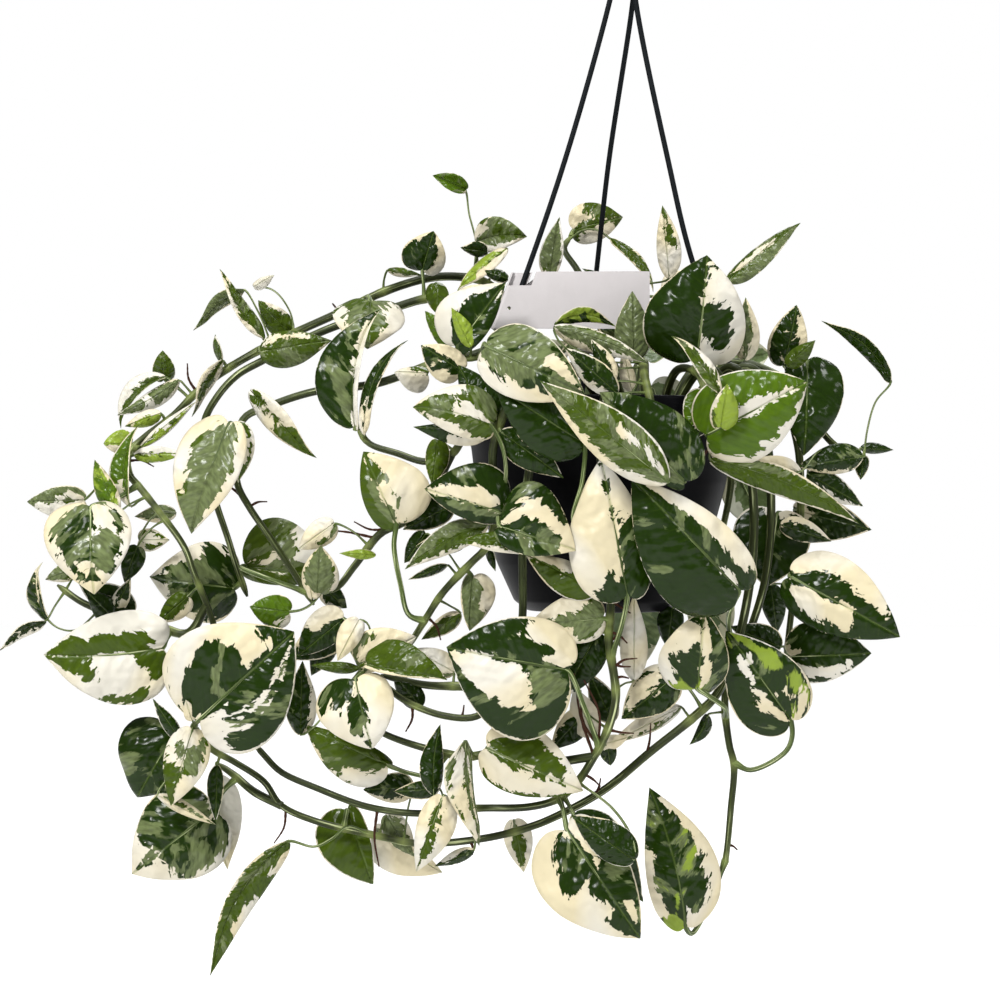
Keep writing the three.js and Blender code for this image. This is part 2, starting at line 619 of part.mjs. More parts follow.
// A closed plate: the points of one face, its triangles, the loop round it and each point's normal
function plate(points, normals, faces, loop) {
  const under = points.length;
  const index = [];
  faces.forEach(([a, b, c]) => {
    index.push(a, b, c);
    index.push(a + under, c + under, b + under);
  });
  loop.forEach((a, i) => {
    const b = loop[(i + 1) % loop.length];
    index.push(a, a + under, b + under);
    index.push(a, b + under, b);
  });
  const corners = [];
  [0.5, -0.5].forEach((face) => {
    points.forEach((point, i) => {
      const corner = point.clone().addScaledVector(normals[i], face * BLADE_THICKNESS);
      corners.push(corner.x, corner.y, corner.z);
    });
  });
  const geometry = new THREE.BufferGeometry();
  geometry.setAttribute('position', new THREE.Float32BufferAttribute(corners, 3));
  geometry.setIndex(index);
  return solidOf(geometry);
}

function halfNormals(midrib, t) {
  const along = midrib.along(Math.min(Math.max(t, 0), 1));
  const left = new THREE.Vector3().crossVectors(along, midrib.leftSide).normalize();
  const right = new THREE.Vector3().crossVectors(midrib.rightSide, along).normalize();
  const middle = left.clone().add(right).normalize();
  middle.divideScalar(Math.max(0.5, middle.dot(left)));
  return { left, right, middle };
}

function nearest(line, place) {
  const closest = line.map((part) => part.closestPointToPoint(place, true, new THREE.Vector3()));
  return closest.reduce((best, p) => (p.distanceTo(place) < best.distanceTo(place) ? p : best));
}

function stalkRoute(leaf, line) {
  const base = midribOf(leaf).at(0);
  const listed = (leaf[12] || []).map(([x, z, y]) => seen(x, z, y));
  const start = nearest(line, listed[0] || base);
  const route = [start, ...listed.slice(1)];
  const reach = start.distanceTo(base);
  if (listed.length === 0 && reach > STALK_BEND_LENGTH) {
    const middle = start.clone().lerp(base, 0.5);
    middle.z += STALK_RISE * reach;
    route.push(middle);
  }
  return [...route, base];
}

// A leaf is one thin plate: pairs of points along its stalk from inside the stem to the base,
// then the midrib's points, the tip, and the points of the left and right edges
function leafPlate(leaf, line) {
  const midrib = midribOf(leaf);
  const route = stalkRoute(leaf, line);
  const length = midrib.at(0).distanceTo(midrib.at(1));
  const outline = OUTLINES.find(({ longest }) => length <= longest);
  const points = [];
  const normals = [];

  const ways = route.slice(1).map((p, i) => p.clone().sub(route[i]).normalize());
  ways.push(midrib.along(0));
  const sides = [midrib.leftSide.clone().normalize().sub(midrib.rightSide.clone().normalize())];
  sides[0].addScaledVector(ways[ways.length - 1], -sides[0].dot(ways[ways.length - 1])).normalize();
  for (let i = ways.length - 2; i >= 0; i -= 1) {
    const turn = new THREE.Quaternion().setFromUnitVectors(ways[i + 1], ways[i]);
    sides.unshift(sides[0].clone().applyQuaternion(turn));
  }
  route.forEach((p, i) => {
    const side = sides[i].clone().add(sides[Math.max(i - 1, 0)]).normalize();
    const way = ways[i].clone().add(ways[Math.max(i - 1, 0)]).normalize();
    const normal = new THREE.Vector3().crossVectors(way, side).normalize();
    points.push(p.clone().addScaledVector(side, STALK_HALF_WIDTH));
    points.push(p.clone().addScaledVector(side, -STALK_HALF_WIDTH));
    normals.push(normal, normal);
  });

  const addPoint = (t, side, share) => {
    const point = midrib.at(t);
    if (side === 'left') point.addScaledVector(midrib.leftSide, share);
    if (side === 'right') point.addScaledVector(midrib.rightSide, share);
    normals.push(halfNormals(midrib, t)[side]);
    return points.push(point) - 1;
  };
  const middle = outline.midrib.map((t) => addPoint(t, 'middle', 0));
  const tip = addPoint(1, 'middle', 0);
  const edges = outline.shoulder ? [outline.shoulder, ...outline.edge] : outline.edge;
  const left = edges.map(([t, share]) => addPoint(t, 'left', share));
  const right = edges.map(([t, share]) => addPoint(t, 'right', share));

  const faces = [];
  for (let i = 0; i + 1 < route.length; i += 1) {
    faces.push([2 * i, 2 * i + 1, 2 * i + 3], [2 * i, 2 * i + 3, 2 * i + 2]);
  }
  const baseLeft = 2 * route.length - 2;
  const baseRight = baseLeft + 1;
  faces.push([baseLeft, baseRight, middle[0]]);
  const first = outline.shoulder ? 1 : 0;
  if (first === 1) faces.push([baseLeft, left[1], left[0]], [baseRight, right[0], right[1]]);
  faces.push([baseLeft, middle[0], left[first]], [middle[0], baseRight, right[first]]);
  middle.forEach((m, i) => {
    const ahead = i + 1 < middle.length ? middle[i + 1] : tip;
    faces.push([m, ahead, left[first + i + 1] ?? left[first + i]]);
    faces.push([ahead, m, right[first + i + 1] ?? right[first + i]]);
    if (ahead !== tip) {
      faces.push([m, left[first + i + 1], left[first + i]]);
      faces.push([m, right[first + i], right[first + i + 1]]);
    }
  });
  const stalkLeft = route.map((_, i) => 2 * i);
  const stalkRight = route.map((_, i) => 2 * i + 1);
  const loop = [...stalkRight, ...right, tip, ...left.reverse(), ...stalkLeft.reverse()];
  return plate(points, normals, faces, loop);
}

function stemPieces(stem) {
  const [holeX, holeY] = stem.hole;
  const soilTop = RIM_Z - SOIL_DROP;
  const footZ = [soilTop - STEM_HOLE_DEPTH + CLEARANCE, soilTop - FOOT_BELOW, soilTop + FOOT_ABOVE];
  const foot = footZ.map((z) => new THREE.Vector3(holeX, holeY, z));
  const main = [...foot, ...stem.route.map(([x, z, y]) => seen(x, z, y))];
  const pieces = [{ label: 'stem', solid: tube(main, STEM_RADIUS, STEM_SIDES, STEM_STEP) }];
  let line = centreline(main, STEM_STEP).slice(1);
  stem.shoots.forEach((shoot, i) => {
    const points = shoot.map(([x, z, y]) => seen(x, z, y));
    points[0] = nearest(line, points[0]);
    line = line.concat(centreline(points, STEM_STEP));
    pieces.push({ label: `shoot ${i}`, solid: tube(points, STEM_RADIUS, STEM_SIDES, STEM_STEP) });
  });
  stem.roots.forEach(([from, to], i) => {
    const start = nearest(line, seen(...from));
    const end = seen(...to);
    const middle = start.clone().lerp(end, 0.5);
    middle.y -= 0.5;
    pieces.push({ label: `root ${i}`, solid: tube([start, middle, end], ROOT_RADIUS, 3, 12) });
  });
  stem.leaves.forEach((leaf, i) => {
    pieces.push({ label: `leaf ${i}`, solid: leafPlate(leaf, line) });
  });
  return pieces;
}

// The pot's wall: outside from the axis up to the rim's lip, then down the inside
function potProfile() {
  const baseZ = RIM_Z - POT_HEIGHT;
  const outside = [
    [0, baseZ], [BASE_RADIUS, baseZ], [BASE_RADIUS + 8, baseZ + 6], [BASE_RADIUS + 18, baseZ + 28],
    [BASE_RADIUS + 31, baseZ + 76], [RIM_RADIUS - 6, RIM_Z - RIM_LIP], [RIM_RADIUS, RIM_Z - RIM_LIP],
  ];
  const inside = [
    [RIM_RADIUS - 6 - POT_WALL, RIM_Z - RIM_LIP],
    ...outside.slice(2, 5).reverse().map(([r, z]) => [r - POT_WALL, z]),
    [BASE_RADIUS - 1, baseZ + POT_WALL], [0, baseZ + POT_WALL],
  ];
  const rim = [[RIM_RADIUS, RIM_Z - 1], [RIM_RADIUS - 1, RIM_Z], [RIM_RADIUS - 5, RIM_Z]];
  return [...outside, ...rim, ...inside].map(([r, z]) => new THREE.Vector2(r, z));
}

function lathe(profile, sides) {
  return solidOf(new THREE.LatheGeometry(profile, sides).rotateX(Math.PI / 2));
}

function upright(sides, radius, bottom, top, x, y) {
  const geometry = new THREE.CylinderGeometry(radius, radius, top - bottom, sides);
  geometry.rotateX(Math.PI / 2);
  geometry.translate(x, y, (top + bottom) / 2);
  return solidOf(geometry);
}

function earPlace(angle, radius) {
  const turn = THREE.MathUtils.degToRad(angle);
  return [POT_X + radius * Math.cos(turn), radius * Math.sin(turn)];
}

function makePot() {
  const parts = [lathe(potProfile(), POT_SIDES).translate([POT_X, 0, 0])];
  RODS.forEach(({ angle }) => {
    const ear = new THREE.BoxGeometry(EAR_SIZE + 4, EAR_SIZE, EAR_THICKNESS);
    ear.translate(EAR_RING - 1, 0, RIM_Z - 1 - EAR_THICKNESS / 2);
    ear.rotateZ(THREE.MathUtils.degToRad(angle));
    ear.translate(POT_X, 0, 0);
    parts.push(solidOf(ear));
  });
  let pot = joined(parts);
  RODS.forEach(({ angle }) => {
    const [x, y] = earPlace(angle, EAR_RING);
    pot = pot.subtract(upright(8, EAR_HOLE, RIM_Z - 9, RIM_Z + 5, x, y));
  });
  const baseZ = RIM_Z - POT_HEIGHT;
  for (let i = 0; i < DRAIN_COUNT; i += 1) {
    const turn = (2 * Math.PI * i) / DRAIN_COUNT;
    const x = POT_X + DRAIN_RING * Math.cos(turn);
    const y = DRAIN_RING * Math.sin(turn);
    pot = pot.subtract(upright(8, DRAIN_RADIUS, baseZ - 1, baseZ + POT_WALL + 1, x, y));
  }
  return pot;
}

function makeSoil() {
  const baseZ = RIM_Z - POT_HEIGHT;
  const top = RIM_Z - SOIL_DROP;
  const room = CLEARANCE + POT_WALL;
  const profile = [
    [0, baseZ + room], [BASE_RADIUS - 1.6, baseZ + room], [BASE_RADIUS + 8 - room, baseZ + 6.6],
    [BASE_RADIUS + 18 - room, baseZ + 28], [BASE_RADIUS + 31 - room, baseZ + 76],
    [RIM_RADIUS - 7 - room, top - 4], [RIM_RADIUS - 12, top],
    [0, top + 1],
  ].map(([r, z]) => new THREE.Vector2(r, z));
  let soil = lathe(profile, POT_SIDES).translate([POT_X, 0, 0]);
  STEMS.forEach(({ hole: [x, y] }) => {
    soil = soil.subtract(upright(STEM_HOLE_SIDES, STEM_HOLE_RADIUS, top - STEM_HOLE_DEPTH, top + 5, x, y));
  });
  return soil;
}

// A rod runs straight through the middle of its ear's hole and ends in a knob under the ear
function rodRoute({ angle, route }, top) {
  const points = route.map(([x, z, y]) => seen(x, z, y));
  points[0].z = top;
  const [x, y] = earPlace(angle, EAR_RING);
  const hole = new THREE.Vector3(x, y, RIM_Z - 1 - EAR_THICKNESS / 2);
  const way = hole.clone().sub(points[points.length - 1]);
  way.divideScalar(-way.z);
  const drop = EAR_THICKNESS / 2 + CLEARANCE + KNOB_RADIUS;
  points.push(hole, hole.clone().addScaledVector(way, drop));
  return points;
}

function makeRod(rod) {
  const route = rodRoute(rod, ROD_TOP);
  const end = route[route.length - 1];
  const knob = new THREE.SphereGeometry(KNOB_RADIUS, 8, 4);
  knob.rotateX(Math.PI / 2);
  knob.translate(end.x, end.y, end.z);
  return joined([tube(route, ROD_RADIUS, ROD_SIDES, ROD_STEP), solidOf(knob)]);
}

// The hook stands on a boss with a plain slanted hole for each rod
function makeHook() {
  const centre = HOOK_RADIUS + HOOK_WIRE;
  // The wire's route from inside the boss up to the ring, as x and z
  const route = [
    [BOSS_X, BOSS_TOP - 4], [BOSS_X, -38], [BOSS_X + 2, -32], [8, -24],
    [centre - 1, -HOOK_RADIUS - 5], [centre, -HOOK_RADIUS],
  ].map(([x, z]) => new THREE.Vector3(x, 0, z));
  for (let degrees = 30; degrees <= 210; degrees += 30) {
    const turn = THREE.MathUtils.degToRad(degrees);
    route.push(new THREE.Vector3(centre * Math.cos(turn), 0, centre * Math.sin(turn) - HOOK_RADIUS));
  }
  const boss = lathe([
    new THREE.Vector2(0, BOSS_BOTTOM), new THREE.Vector2(BOSS_RADIUS, BOSS_BOTTOM),
    new THREE.Vector2(BOSS_RADIUS, BOSS_TOP - 6), new THREE.Vector2(4, BOSS_TOP),
    new THREE.Vector2(0, BOSS_TOP),
  ], 16).translate([BOSS_X, 0, 0]);
  let hook = joined([tube(route, HOOK_WIRE, 8, 8), boss]);
  RODS.forEach((rod) => {
    const bore = rodRoute(rod, ROD_TOP + CLEARANCE);
    hook = hook.subtract(tube(bore, ROD_RADIUS + ROD_PLAY, ROD_SIDES, ROD_STEP));
  });
  return hook;
}

// The label is a strip with a closed loop at its left end that holds the left rod. The loop
// follows the slant of the rod, and the free end hangs plumb.
function makeLabel() {
  const rod = smooth(rodRoute(RODS[0], ROD_TOP));
  const middleZ = LABEL_TOP - LABEL_HEIGHT / 2;
  const line = rod.getSpacedPoints(400);
  const place = line.reduce((a, b) => (Math.abs(a.z - middleZ) < Math.abs(b.z - middleZ) ? a : b));
  const above = line.reduce((a, b) => (Math.abs(a.z - LABEL_TOP) < Math.abs(b.z - LABEL_TOP) ? a : b));
  const slant = above.clone().sub(place).divideScalar(above.z - place.z);
  const inner = ROD_RADIUS + 0.9;
  const outer = inner + LABEL_THICKNESS;
  const shape = new THREE.Shape();
  shape.moveTo(LABEL_RIGHT - place.x, -outer - 1);
  shape.lineTo(LABEL_RIGHT - place.x, -outer - 1 + LABEL_THICKNESS);
  shape.lineTo(30, -inner);
  shape.lineTo(inner + 2, -inner + 0.6);
  shape.lineTo(outer, 0);
  shape.lineTo(outer * 0.5, outer);
  shape.lineTo(-8, outer);
  shape.lineTo(-9, 0);
  shape.lineTo(-8, -outer);
  shape.lineTo(30, -outer);
  shape.closePath();
  const opening = new THREE.Path();
  opening.moveTo(-7.4, -inner);
  opening.lineTo(-8, 0);
  opening.lineTo(-7.4, inner);
  opening.lineTo(inner * 0.5, inner);
  opening.lineTo(inner, 0);
  opening.lineTo(inner * 0.5, -inner);
  opening.closePath();
  shape.holes.push(opening);
  const geometry = new THREE.ExtrudeGeometry(shape, { depth: LABEL_HEIGHT, bevelEnabled: false });
  geometry.translate(0, 0, -LABEL_HEIGHT / 2);
  const position = geometry.attributes.position;
  for (let i = 0; i < position.count; i += 1) {
    const follow = THREE.MathUtils.clamp(1 - (position.getX(i) - 12) / 20, 0, 1);
    const height = position.getZ(i);
    position.setX(i, position.getX(i) + place.x + slant.x * height * follow);
    position.setY(i, position.getY(i) + place.y + slant.y * height * follow);
    position.setZ(i, height + middleZ);
  }
  return solidOf(geometry);
}

const materials = {
  leaf: new THREE.MeshStandardMaterial({ color: 0x6f8a55, roughness: 0.4, metalness: 0 }),
  pot: new THREE.MeshStandardMaterial({ color: 0x141416, roughness: 0.45, metalness: 0 }),
  soil: new THREE.MeshStandardMaterial({ color: 0x2c2119, roughness: 0.95, metalness: 0 }),
  rod: new THREE.MeshStandardMaterial({ color: 0x1c1f22, roughness: 0.5, metalness: 0 }),
  label: new THREE.MeshStandardMaterial({ color: 0xebe4e4, roughness: 0.7, metalness: 0 }),
};

const plant = new THREE.Group();

function addPiece(name, solid, material) {
  const mesh = new THREE.Mesh(geometryOf(solid), material.clone());
  mesh.name = name;
  plant.add(mesh);
}

addPiece('pot', makePot(), materials.pot);
addPiece('soil', makeSoil(), materials.soil);
addPiece('hook', makeHook(), materials.rod);
RODS.forEach((rod) => addPiece(rod.name, makeRod(rod), materials.rod));
addPiece('label', makeLabel(), materials.label);
STEMS.forEach((stem) => {
  const solids = stemPieces(stem).map((piece) => piece.solid);
  addPiece(stem.name, joined(solids), materials.leaf);
});

export default plant;
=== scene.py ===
"""A variegated trailing plant in a black hanging pot: leafy stems, pot, soil, hanger and label."""

import math
import re

import bmesh
import bpy
import numpy as np
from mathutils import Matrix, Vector
from mathutils.geometry import tessellate_polygon


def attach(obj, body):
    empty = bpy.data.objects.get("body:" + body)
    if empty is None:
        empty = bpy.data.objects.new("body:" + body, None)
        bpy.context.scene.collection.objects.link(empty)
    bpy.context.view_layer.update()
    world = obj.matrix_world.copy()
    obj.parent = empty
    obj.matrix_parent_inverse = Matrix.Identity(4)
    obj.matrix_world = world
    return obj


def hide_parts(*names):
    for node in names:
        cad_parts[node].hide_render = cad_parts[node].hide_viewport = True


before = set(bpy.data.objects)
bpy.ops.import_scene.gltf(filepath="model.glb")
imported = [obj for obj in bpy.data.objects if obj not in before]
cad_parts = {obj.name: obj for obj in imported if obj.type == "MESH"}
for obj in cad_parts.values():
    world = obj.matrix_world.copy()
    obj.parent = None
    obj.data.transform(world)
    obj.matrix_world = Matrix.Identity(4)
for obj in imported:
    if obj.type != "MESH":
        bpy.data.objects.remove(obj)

bl_info = {
    "name": "Hanging Variegated Plant",
    "version": (1, 0, 0),
    "blender": (4, 5, 0),
    "location": "View3D > Sidebar > Plant",
    "description": "Builds a trailing variegated plant in a black hanging pot",
    "category": "Add Mesh",
}

MM = 0.001

# Places on the plant are given in millimetres as seen from the front: x, z, and the depth y behind
# the plane of the pot's axis. The eye stands EYE_DISTANCE in front of it, facing EYE_X, EYE_Z, and
# sees VIEW_WIDTH of that plane.
EYE_X = -80.4
EYE_Z = -384.0
EYE_DISTANCE = 1600.0
VIEW_WIDTH = 600

# Sizes in millimetres
POT_X = -20.0
RIM_Z = -324.0
SOIL_TOP = -333.0
HOLE_DEPTH = 24.0
CLEARANCE = 0.3
HOOK_RADIUS = 11
ROD_TOP = -46.0
EAR_RING = 91.0
EAR_THICKNESS = 4.0
KNOB_RADIUS = 4.6
LABEL_TOP = -250.5
LABEL_HEIGHT = 33.5
LABEL_THICKNESS = 0.8
LABEL_RIGHT = 7.0
LABEL_PLAY = 0.9

# Sizes in metres, and counts
EAR_HALF_WIDTH = 0.0065
EAR_HOLE = 0.0035
DRAINS = 5
DRAIN_RING = 0.024
DRAIN_RADIUS = 0.004
SOIL_RADIUS = 0.0715
FLOOR_REACH = 6.0
FULL_HALF_WIDTH = 0.02
STEM_STEP = 0.003
STALK_STEP = 0.0022
ROOT_STEP = 0.0015
BURIED_STEPS = 8
SHORT_STALK = 0.008
LONG_STALK = 0.024
JOINT_REACH = 0.002

# Where the pot's wall bends: out from the bottom's edge, and up, in metres
POT_BENDS = ((0.008, 0.006), (0.018, 0.028), (0.031, 0.076))

# Each rod: its name, the angle of its ear, and the bends of its route
RODS = (
    ("rod_left", 216, ((-6.5, -48, 0), (-14.4, -84, -6), (-41.4, -180, -23), (-68.4, -258.6, -38))),
    ("rod_right", 336, ((-2.5, -48, -5), (0.9, -84, -8), (20.4, -180, -19), (34.8, -240, -27))),
    ("rod_back", 96, ((2.5, -48, 4), (-0.6, -84, 15), (-15, -180, 46), (-22.8, -249, 67))),
)

# Each stem: its hole in the soil (x, y), its route, side shoots, short aerial roots and leaves.
# A leaf is base x, z, y, tip x, z, y, left width, right width, left depth, right depth, bend,
# arch, its colours, and at times its stalk's route. The colours start with the blade's own
# (Dark, Middle, Bright, Grey, Yellow or Cream) and how much grey-green is mottled in, from 0 to 9.
# Each patch after it has a colour (c, g and y lie on the green, d, m and b clear it again), the
# side it lies on (Left, Right or All of the blade), its span from base 0 to tip 10, and after the
# @ its span from midrib 0 to edge 10. A colour, a ~ and a number mottle the whole blade.
STEMS = {}
STEMS["stem_top"] = {
    "hole": (-58, 18),
    "route": (
        (-62, -302, 22), (-72, -270, 24), (-90, -253, 24), (-106, -250, 22), (-124, -251, 20),
        (-150, -259, 16), (-165, -266, 14), (-182, -274, 12), (-202, -283, 10), (-230, -297, 8),
        (-248, -308, 6), (-262, -319, 2), (-277, -334, -6), (-293, -346, -14), (-303, -356, -20),
        (-303, -368, -26), (-296, -377, -30), (-285, -391, -34), (-270, -412, -38),
        (-264, -428, -40), (-253, -456, -42), (-250, -470, -38),
    ),
    "shoots": (
        ((-256, -448, -41), (-268, -464, -36), (-290, -458, -34), (-310, -453, -30),
         (-330, -446, -28), (-346, -435, -26)),
        ((-303, -354, -18), (-290, -355, -16), (-277, -356, -14)),
    ),
    "roots": (
        ((-262, -318, 2), (-268, -302, 0)), ((-177, -273, 12), (-181, -266, 10)),
        ((-246, -307, 6), (-251, -304, 2)), ((-296, -362, -20), (-288, -364, -22)),
    ),
    "leaves": (
        (-101, -198, 26, -121, -189, 22, 5, 6, -6, -4, 0, 2, "B3 cL0-3@6",
         ((-92, -251, 24), (-95, -228, 24), (-99, -212, 25))),
        (-94, -229, 22, -64, -226, 14, 12, 9, -4, -2, 2, 3, "M6 cL0-4@5 cR2-10@6"),
        (-76, -233, 14, -107, -258, 8, 5, 6, -4, 4, 0, 2, "Y2 cL0-6@0 cR0-3@2"),
        (-148, -246, 14, -127, -249, 8, 3, 3, 4, 4, 0, 1, "M2 cR0-10@6",
         ((-151, -259, 16), (-150, -252, 15))),
        (-158, -265, -12, -160, -293, -38, 21, 22, 4, 4, 0, 5, "M6 cL3-10@5 cR4-10@7"),
        (-224, -295, -16, -181, -288, -20, 10, 12, 3, 3, 0, 3, "M5 cL2-7@5-8 cR8-10@7"),
        (-207, -284, 18, -226, -264, 14, 8, 8, 5, 2, 0, 2, "M0 cR5-10@7"),
        (-222, -287, 6, -247, -245, 0, 4, 5, -5, 5, 3, 0, "M4 cL0-10@5"),
        (-234, -258, 10, -262, -283, 2, 3, 5, 6, -4, -4, 0, "G3 cL0-10@8"),
        (-247, -300, 0, -263, -334, -10, 3, 4, 6, -6, -3, 0, "M3 cL0-10@4 cR0-10@7"),
        (-282, -312, 8, -283, -294, 2, 7, 7, 3, 3, 0, 2, "M1"),
        (-281, -310, 1, -309, -341, 2, 4, 8, -6, 3, -7, 0, "M0 cR0-10@3"),
        (-273, -312, -2, -311, -333, -8, 6, 5, 4, 4, 2, 2, "G8 cL0-10@8 cR0-10@8 cA5-6@0"),
        (-302, -351, -18, -319, -350, -24, 6, 9, 2, 4, 0, 3, "Y2 cL2-9@1"),
        (-302, -388, -34, -297, -338, -30, 8, 4, 2, -6, 6, 2, "B1 cL0-4@2"),
        (-310, -391, -42, -324, -359, -38, 8, 5, 4, 4, 0, 2, "B4 y~5 cR0-10@7"),
        (-330, -384, -10, -365, -385, -16, 11, 9, 3, 3, 0, 3, "G6 cL0-8@1 cR0-5@1-6"),
        (-326, -388, -48, -324, -441, -62, 23, 28, 6, 6, 0, 6,
         "D6 cR0-10@8 cL0-4@0-7 cL2-10@8 cA8-10@0 cR7-10@0-4",
         ((-299, -376, -28), (-312, -384, -38))),
        (-275, -392, -12, -300, -394, -16, 5, 6, 2, 2, 0, 1, "G8 cL0-10@6"),
        (-297, -408, -14, -279, -408, -20, 7, 7, 2, 2, 0, 1, "C2 dL0-10@5 dR5-10@4"),
        (-312, -451, -38, -302, -431, -42, 5, 5, 3, 3, 0, 1, "D1 cA0-5@2"),
        (-300, -451, -26, -334, -434, -22, 10, 10, 2, 2, 0, 2, "D1"),
        (-352, -456, -26, -357, -421, -30, 7, 3, 4, -3, 4, 0, "D3 cR3-10@1-6",
         ((-322, -452, -30), (-335, -462, -30), (-345, -461, -27))),
        (-353, -457, -27, -380, -475, -34, 4, 3, 4, -4, -3, 0, "D1 cL3-10@4"),
        (-283, -473, -44, -355, -477, -56, 30, 25, 4, 4, 2, 6,
         "C0 dR2-7@0-5 dR7-10@0-8 dL6-10@0-6 mL0-3@0-8 dL4-6@8-10"),
        (-88, -235, 18, -104, -233, 10, 4, 5, 3, -3, 0, 1, "D2"),
        (-76, -251, 4, -92, -246, 8, 4, 4, 2, 4, 0, 2, "D1"),
        (-228, -256, 20, -216, -249, 14, 3, 4, 3, 3, 0, 1, "C0",
         ((-204, -284, 10), (-206, -272, 16), (-213, -261, 18), (-219, -257, 20))),
        (-248, -300, 2, -252, -285, -2, 3, 3, 4, -4, 0, 0, "M2"),
        (-308, -459, -40, -329, -438, -36, 8, 9, 3, 3, 0, 2, "D1"),
        (-300, -357, -24, -268, -356, -26, 5, 5, 2, 2, 0, 2, "Y2 cL0-10@3"),
        (-296, -352, -24, -262, -324, -12, 3, 4, 2, 2, 0, 1, "Y1 cL0-10@2"),
        (-268, -442, -30, -286, -458, -28, 8, 7, 3, 3, 0, 1, "M3 cL0-10@7"),
        (-298, -412, -24, -306, -434, -22, 7, 7, 3, 3, 0, 1, "D2"),
        (-284, -332, -12, -306, -340, -10, 5, 5, 3, 3, 0, 1, "Y2 cR0-10@4"),
        (-332, -424, -30, -354, -432, -28, 6, 6, 3, 3, 0, 1, "G4 cL0-10@7"),
    ),
}
STEMS["stem_upper"] = {
    "hole": (-58, -2),
    "route": (
        (-64, -302, -2), (-84, -279, 0), (-105, -266, 2), (-122, -263, 2), (-145, -269, 0),
        (-177, -279, -3), (-194, -286, -4), (-224, -301, -7), (-238, -309, -9), (-250, -322, -11),
        (-258, -338, -12), (-257, -360, -10), (-251, -385, -8), (-244, -406, -6), (-238, -425, -4),
        (-232, -442, -4),
    ),
    "roots": (
        ((-250, -383, -8), (-262, -384, -6)),
    ),
    "leaves": (
        (-127, -246, 2, -120, -222, -4, 15, 12, 4, 6, 0, 3, "D1 cR0-8@5 cA7-10@6"),
        (-120, -254, -6, -114, -276, -12, 7, 7, 4, 4, 0, 2, "M3"),
        (-240, -437, 4, -291, -430, -6, 23, 26, 4, 4, 0, 5, "D4 cL4-9@8 cR5-10@6 cR0-4@9 cA8-10@3"),
    ),
}
STEMS["stem_side"] = {
    "hole": (-52, -20),
    "route": (
        (-60, -302, -24), (-80, -293, -28), (-100, -298, -28), (-122, -303, -28),
        (-154, -314, -26), (-192, -319, -26), (-217, -327, -28), (-234, -335, -30),
        (-238, -350, -32), (-238, -374, -34), (-231, -388, -35), (-218, -407, -36),
        (-200, -434, -36), (-192, -447, -36),
    ),
    "roots": (
        ((-229, -387, -35), (-220, -385, -35)), ((-236, -383, -34), (-249, -372, -30)),
    ),
    "leaves": (
        (-124, -308, -40, -144, -307, -46, 12, 4, 3, 5, 0, 2, "C1 mR0-6@2"),
        (-230, -318, -32, -192, -360, -40, 7, 8, -4, 4, 0, 2, "M2 cL3-6@2 cR3-5@4 cA0-1@3"),
        (-240, -338, -42, -238, -374, -42, 12, 4, 2, 2, 0, 1, "C2 dL0-10@7 dA7-10@4"),
        (-243, -338, -52, -267, -405, -62, 16, 24, -4, 6, 0, 8, "G7 cR0-7@6 cL0-8@7 cA0-1@2"),
        (-233, -424, -20, -178, -430, -18, 31, 9, 6, 2, 0, 4, "M5 gL0-7@1-6 cL6-10@3 cL0-5@2-3",
         ((-197, -438, -36), (-220, -431, -38), (-235, -425, -33))),
    ),
}
STEMS["stem_left"] = {
    "hole": (-44, -46),
    "route": (
        (-54, -308, -70), (-80, -318, -84), (-100, -343, -78), (-110, -357, -70),
        (-125, -361, -66), (-142, -356, -62), (-159, -350, -58), (-166, -341, -56),
    ),
    "shoots": (
        ((-110, -357, -70), (-122, -380, -62), (-138, -397, -58), (-152, -404, -56),
         (-168, -424, -56), (-179, -437, -56), (-190, -438, -57)),
    ),
    "roots": (
        ((-150, -400, -57), (-168, -397, -56)), ((-168, -397, -56), (-190, -402, -56)),
    ),
    "leaves": (
        (-167, -340, -56, -153, -268, -50, 22, 4, 4, -4, 7, 2, "D4 gL1-5@1-5 cR0-10@2 cL0-8@0-1"),
        (-162, -345, -62, -137, -287, -70, 5, 4, 4, -3, 7, 0, "D1 cA0-4@1"),
        (-118, -348, -76, -121, -376, -80, 8, 6, 3, 3, 0, 1, "M1"),
        (-190, -439, -62, -188, -411, -68, 10, 12, 4, 4, 0, 3, "G5 cL0-10@8 cR3-10@8"),
        (-193, -443, -60, -196, -425, -64, 3, 6, 2, 2, 0, 1, "C1"),
        (-186, -437, -52, -172, -449, -46, 6, 7, 2, 2, 0, 1, "D3 cR0-10@6"),
        (-155, -417, -62, -177, -416, -68, 3, 3, 2, 2, 0, 1, "Y0"),
        (-207, -451, -58, -231, -448, -62, 11, 9, 3, 3, 0, 2, "B1 cL0-4@7",
         ((-187, -438, -57), (-193, -446, -58), (-200, -450, -58))),
        (-180, -398, -60, -202, -414, -58, 8, 8, 3, 3, 0, 2, "C0 gL0-6@4"),
    ),
}
